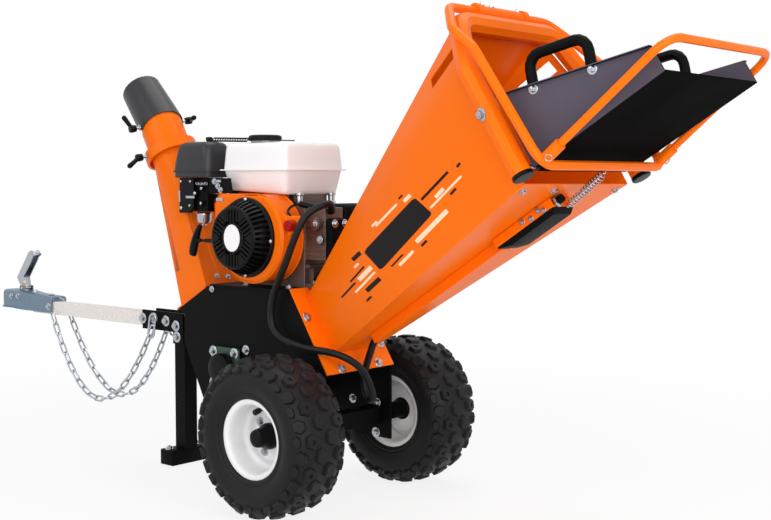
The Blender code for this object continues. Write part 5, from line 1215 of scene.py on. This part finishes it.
class CHIPPER_OT_recoil(Operator):
    """Moulds the slotted recoil cover with its bare badge plate, and the pull grip on its rope"""

    bl_idname = "chipper.recoil"
    bl_label = "Recoil starter"

    def execute(self, context):
        low, high = corners("recoil_cover")
        where = seat(((low.x + high.x) / 2, high.y, (low.z + high.z) / 2), NEAR)
        bm = bmesh.new()
        lathe(bm, [(80, 0), (92.4, 0), (92.5, 3), (91.2, 6), (88.5, 7.8), (84.5, 8.2), (80, 8.2)], where,
              80, closed=True)
        lathe(bm, [(65, 39.5), (71.5, 39.8), (72.7, 41.8), (71.8, 44.2), (69.5, 45.7), (65, 46)], where, 80,
              closed=True)
        ribs = 40
        for i in range(ribs):
            turn = tau * (i + 0.5) / ribs
            out, across = polar(1, turn), Vector((-sin(turn), cos(turn), 0))
            rings = []
            for radius, height, half in ((86.8, 4.5, 3.2), (83.8, 18, 3), (78.5, 31, 2.8), (71.6, 42, 2.6)):
                face = radius * out + Vector((0, 0, height))
                back = (radius - 7) * out + Vector((0, 0, height - 3))
                edge = half * across
                ring = (face + edge, face - edge, back - edge, back + edge)
                rings.append([where @ corner for corner in ring])
            loft(bm, rings)
        for group in range(6):
            spoke = where @ Matrix.Rotation(tau * group / 6, 4, "Z")
            for offset in (-15, -5, 5, 15):
                reach = (66 ** 2 - offset ** 2) ** 0.5
                block(bm, (30 + abs(offset) / 2, offset - 2.8, 38), (reach, offset + 2.8, 45.6), spoke)
            wedge = [(40, 0)] + [(66.5 * cos(a), 66.5 * sin(a)) for a in (-0.21, -0.07, 0.07, 0.21)]
            between = spoke @ Matrix.Rotation(tau / 12, 4, "Z")
            prism(bm, wedge, 7.6, between @ Matrix.Translation((0, 0, 38)))
        lathe(bm, [(36, 36), (36, 44.5), (34.5, 46), (4, 46)], where, 48)
        piece("slotted_recoil_cover", bm, "moulded_black", "recoil_cover", crease=40)
        bm = bmesh.new()
        lathe(bm, [(78, 0.5), (77.5, 10), (73.5, 20), (65, 26), (4, 26.5)], where, 48)
        piece("recoil_reel", bm, "black_powder_coat", slot="black_plastic")
        bm = bmesh.new()
        lathe(bm, [(31, 45.6), (31, 46.6), (30.2, 47.4), (4, 47.5)],
              where @ Matrix.Diagonal((1, 0.85, 1, 1)), 64)
        piece("recoil_badge_plate", bm, "tank_enamel")
        bm = bmesh.new()
        for degrees in (-3, 77, 182, 266):
            round_head(bm, where @ polar(87.2, radians(degrees), 7.8), NEAR, 10)
        piece("recoil_screws", bm, "bright_zinc")

        grip_low, grip_high = corners("recoil_grip")
        middle = Vector((232, (grip_low.y + grip_high.y) / 2, (grip_low.z + grip_high.z) / 2))
        lean = radians(22)
        along, side = Vector((sin(lean), 0, cos(lean))), Vector((cos(lean), 0, -sin(lean)))
        bm = bmesh.new()
        rings = []
        # The grip from its lower to its upper end: place, half width and half thickness.
        stations = ((-39.5, 4.5, 4), (-38.5, 8.5, 7), (-34, 10.8, 8.8), (-18, 11.2, 9.5), (2, 10, 9.2),
                    (22, 7.8, 8), (35, 6.4, 6.8), (39, 4.8, 5), (39.5, 2.5, 2.5))
        for run, half, thick in stations:
            bow = 3.5 * (1 - (run / 39.5) ** 2)
            spot = middle + run * along - bow * side
            rings.append([spot + half * x * side + thick * y * Vector(FAR) for x, y in circle(1, 20)])
        loft(bm, rings)
        tube(bm, [middle + Vector((x, 0, 0)) for x in (4, 13, 19)], [6.2, 5.2, 3.6], 16)
        tube(bm, [middle + Vector((17, 0, 0)), Vector((grip_high.x, middle.y, middle.z))], 2.2, 10)
        piece("recoil_pull_grip", bm, "moulded_black", "recoil_grip", body="recoil", crease=60)
        bm = bmesh.new()
        tube(bm, [(x, middle.y, middle.z) for x in (262, 266, 290, 302)], [4.2, 5, 5.6, 7.5], 18)
        piece("rope_guide", bm, "moulded_black")
        return {"FINISHED"}


class CHIPPER_OT_engine(Operator):
    """Finishes the engine block and adds its fins, covers, plug lead and tank posts"""

    bl_idname = "chipper.engine"
    bl_label = "Engine block"

    def execute(self, context):
        dress("cast_aluminium", 2, "crankcase")
        dress("orange_powder_coat", 6, "fan_housing", segments=4)
        dress("black_powder_coat", 22, "muffler", segments=6)
        dress("moulded_red", 2, "engine_switch")
        bm = bmesh.new()
        prism(bm, [(250, 662), (420, 662), (420, 706), (330, 710), (250, 714)], 2.2,
              seat((0, -56, 0), NEAR, REAR))
        piece("tank_bracket", bm, "black_powder_coat", edge=0.6)
        bm = bmesh.new()
        for i in range(7):
            height = 557 + 13.5 * i
            block(bm, (502, -57.2, height), (560, -50, height + 3))
            block(bm, (560, -50, height), (565.5, 4.5, height + 3))
        block(bm, (499.5, -56, 531), (512, 80, 539))
        block(bm, (499.5, -56, 484.6), (522, 86, 496))
        block(bm, (499.5, -35, 496), (508, 10, 531))
        for y in (-45, 0, 45):
            block(bm, (499.5, y, 496), (515, y + 4, 531))
        tube(bm, [(539.6, -52, 633), (539.6, -66, 633)], 15, 28)
        tube(bm, [(553, -52, 598), (553, -62, 598)], 8, 20)
        piece("cylinder_fins", bm, "cast_aluminium", edge=0.8)
        # The case's far cover: a boss round the crankshaft, ribs out to a rim, and a bolt at each corner.
        bm = bmesh.new()
        left, right, bottom, top = 306, 494, 492.5, 668
        centre = CRANK + Vector((0, 90, 0))
        lathe(bm, [(17, -0.5), (34, -0.5), (34, 5), (31, 7), (17, 7)], seat(centre, FAR), 48,
              closed=True)
        for k in range(8):
            angle = tau * (k + 0.5) / 8
            reach = min(((right if cos(angle) > 0 else left) - centre.x) / cos(angle),
                        ((top if sin(angle) > 0 else bottom) - centre.z) / sin(angle))
            block(bm, (32, -0.5, -2.2), (reach, 3.8, 2.2),
                  Matrix.Translation(centre) @ Matrix.Rotation(-angle, 4, "Y"))
        for low, high in (((left, bottom), (left + 7, top)), ((right - 7, bottom), (right, top)),
                          ((left, bottom), (right, bottom + 7)), ((left, top - 7), (right, top))):
            block(bm, (low[0], 89.5, low[1]), (high[0], 94.5, high[1]))
        piece("case_cover", bm, "cast_aluminium", edge=0.8)
        bm = bmesh.new()
        prism(bm, [(x - 24.5, z + 600) for x, z in oblong(56, 92, 10)], 16.5,
              seat((562.5, 0, 0), REAR, FAR), 4)
        piece("rocker_cover", bm, "black_powder_coat", edge=1.5)
        bm = bmesh.new()
        heads = [((539.6, -66, 633), NEAR), ((553, -62, 598), NEAR)]
        heads += [((579, y, z), REAR) for y, z in product((-40, -8), (634, 568))]
        heads += [((515, -40, 496), UP), ((515, 70, 496), UP), ((508, -12, 514), REAR)]
        for spot, out in heads:
            bolt(bm, spot, out, 10)
        for x, z in product((left + 3.5, right - 3.5, 400), (bottom + 3.5, top - 3.5)):
            bolt(bm, (x, 94.5, z), FAR, 9)
        for x, y in ((456, -30), (456, 78)):
            lathe(bm, [(11, 0), (11, 6), (8.5, 8), (8.5, 20), (11, 22.5), (11, 26.8)],
                  seat((x, y, 675), UP), 24)
        piece("engine_hardware", bm, "bright_zinc")
        bm = bmesh.new()
        tube(bm, [(516, -36, 668), (502, -50, 674), (494, -58, 677), (488, -64, 678)], [8.5, 8, 7.5, 6], 18)
        tube(bm, smooth([(489, -63, 678), (481, -80, 672), (486, -96, 661), (500, -100, 650)], 8), 2.6, 10)
        lathe(bm, [(11, -2), (11, 10), (14, 10.5), (14, 17), (11, 19)],
              seat((530, -30, 505), (0.6, -0.5, 0.6)), 48, teeth=12, tooth=0.05)
        tube(bm, [(508, -26, 500), (530, -30, 505)], 9, 18)
        piece("plug_lead_and_filler", bm, "moulded_black")
        return {"FINISHED"}


class CHIPPER_OT_spring(Operator):
    """Winds the return spring of the safety bar"""

    bl_idname = "chipper.spring"
    bl_label = "Return spring"

    def execute(self, context):
        wire = context.scene.chipper_sizes.spring_wire
        start, end = hopper(666, BOX_SIDE, -30), mouth(50, BOX_SIDE, -17.5)
        along = (end - start).normalized()
        start, end = start + 2 * along, end - 4 * along
        where = seat(start, along)
        run = (end - start).length
        turns, steps, outer = 16, 14, 9
        coil = []
        for i in range(turns * steps + 1):
            share = i / (turns * steps)
            hook = min(1, 8 * share, 8 * (1 - share))
            reach = max(1.2, (outer - wire / 2) * hook)
            coil.append(where @ polar(reach, tau * i / steps, run * share))
        bm = bmesh.new()
        tube(bm, coil, wire / 2, 8)
        piece("wound_return_spring", bm, "bright_zinc", "return_spring", crease=60)
        return {"FINISHED"}


STEPS = (CHIPPER_OT_finishes, CHIPPER_OT_camera, CHIPPER_OT_stage, CHIPPER_OT_chains, CHIPPER_OT_conduit,
         CHIPPER_OT_frame_steel, CHIPPER_OT_fasteners, CHIPPER_OT_tyres, CHIPPER_OT_rims,
         CHIPPER_OT_tow_gear, CHIPPER_OT_chute, CHIPPER_OT_hopper, CHIPPER_OT_tray, CHIPPER_OT_tank,
         CHIPPER_OT_intake, CHIPPER_OT_recoil, CHIPPER_OT_engine, CHIPPER_OT_spring)


class CHIPPER_PT_pieces(Panel):
    """Lists the steps that dress the chipper"""

    bl_idname = "CHIPPER_PT_pieces"
    bl_label = "Wood chipper"
    bl_space_type = "VIEW_3D"
    bl_region_type = "UI"
    bl_category = "Chipper"

    def draw(self, context):
        for step in STEPS:
            self.layout.operator(step.bl_idname)
        for group in (context.scene.chipper_sizes, context.scene.chipper_colours):
            for name in group.bl_rna.properties.keys():
                if name not in ("rna_type", "name"):
                    self.layout.prop(group, name)


CLASSES = (ChipperSizes, ChipperColours, *STEPS, CHIPPER_PT_pieces)


def register():
    for kind in CLASSES:
        bpy.utils.register_class(kind)
    bpy.types.Scene.chipper_sizes = PointerProperty(type=ChipperSizes)
    bpy.types.Scene.chipper_colours = PointerProperty(type=ChipperColours)


def unregister():
    del bpy.types.Scene.chipper_colours
    del bpy.types.Scene.chipper_sizes
    for kind in reversed(CLASSES):
        bpy.utils.unregister_class(kind)


def main():
    register()
    for step in STEPS:
        group, name = step.bl_idname.split(".")
        getattr(getattr(bpy.ops, group), name)()


if __name__ == "__main__":
    main()
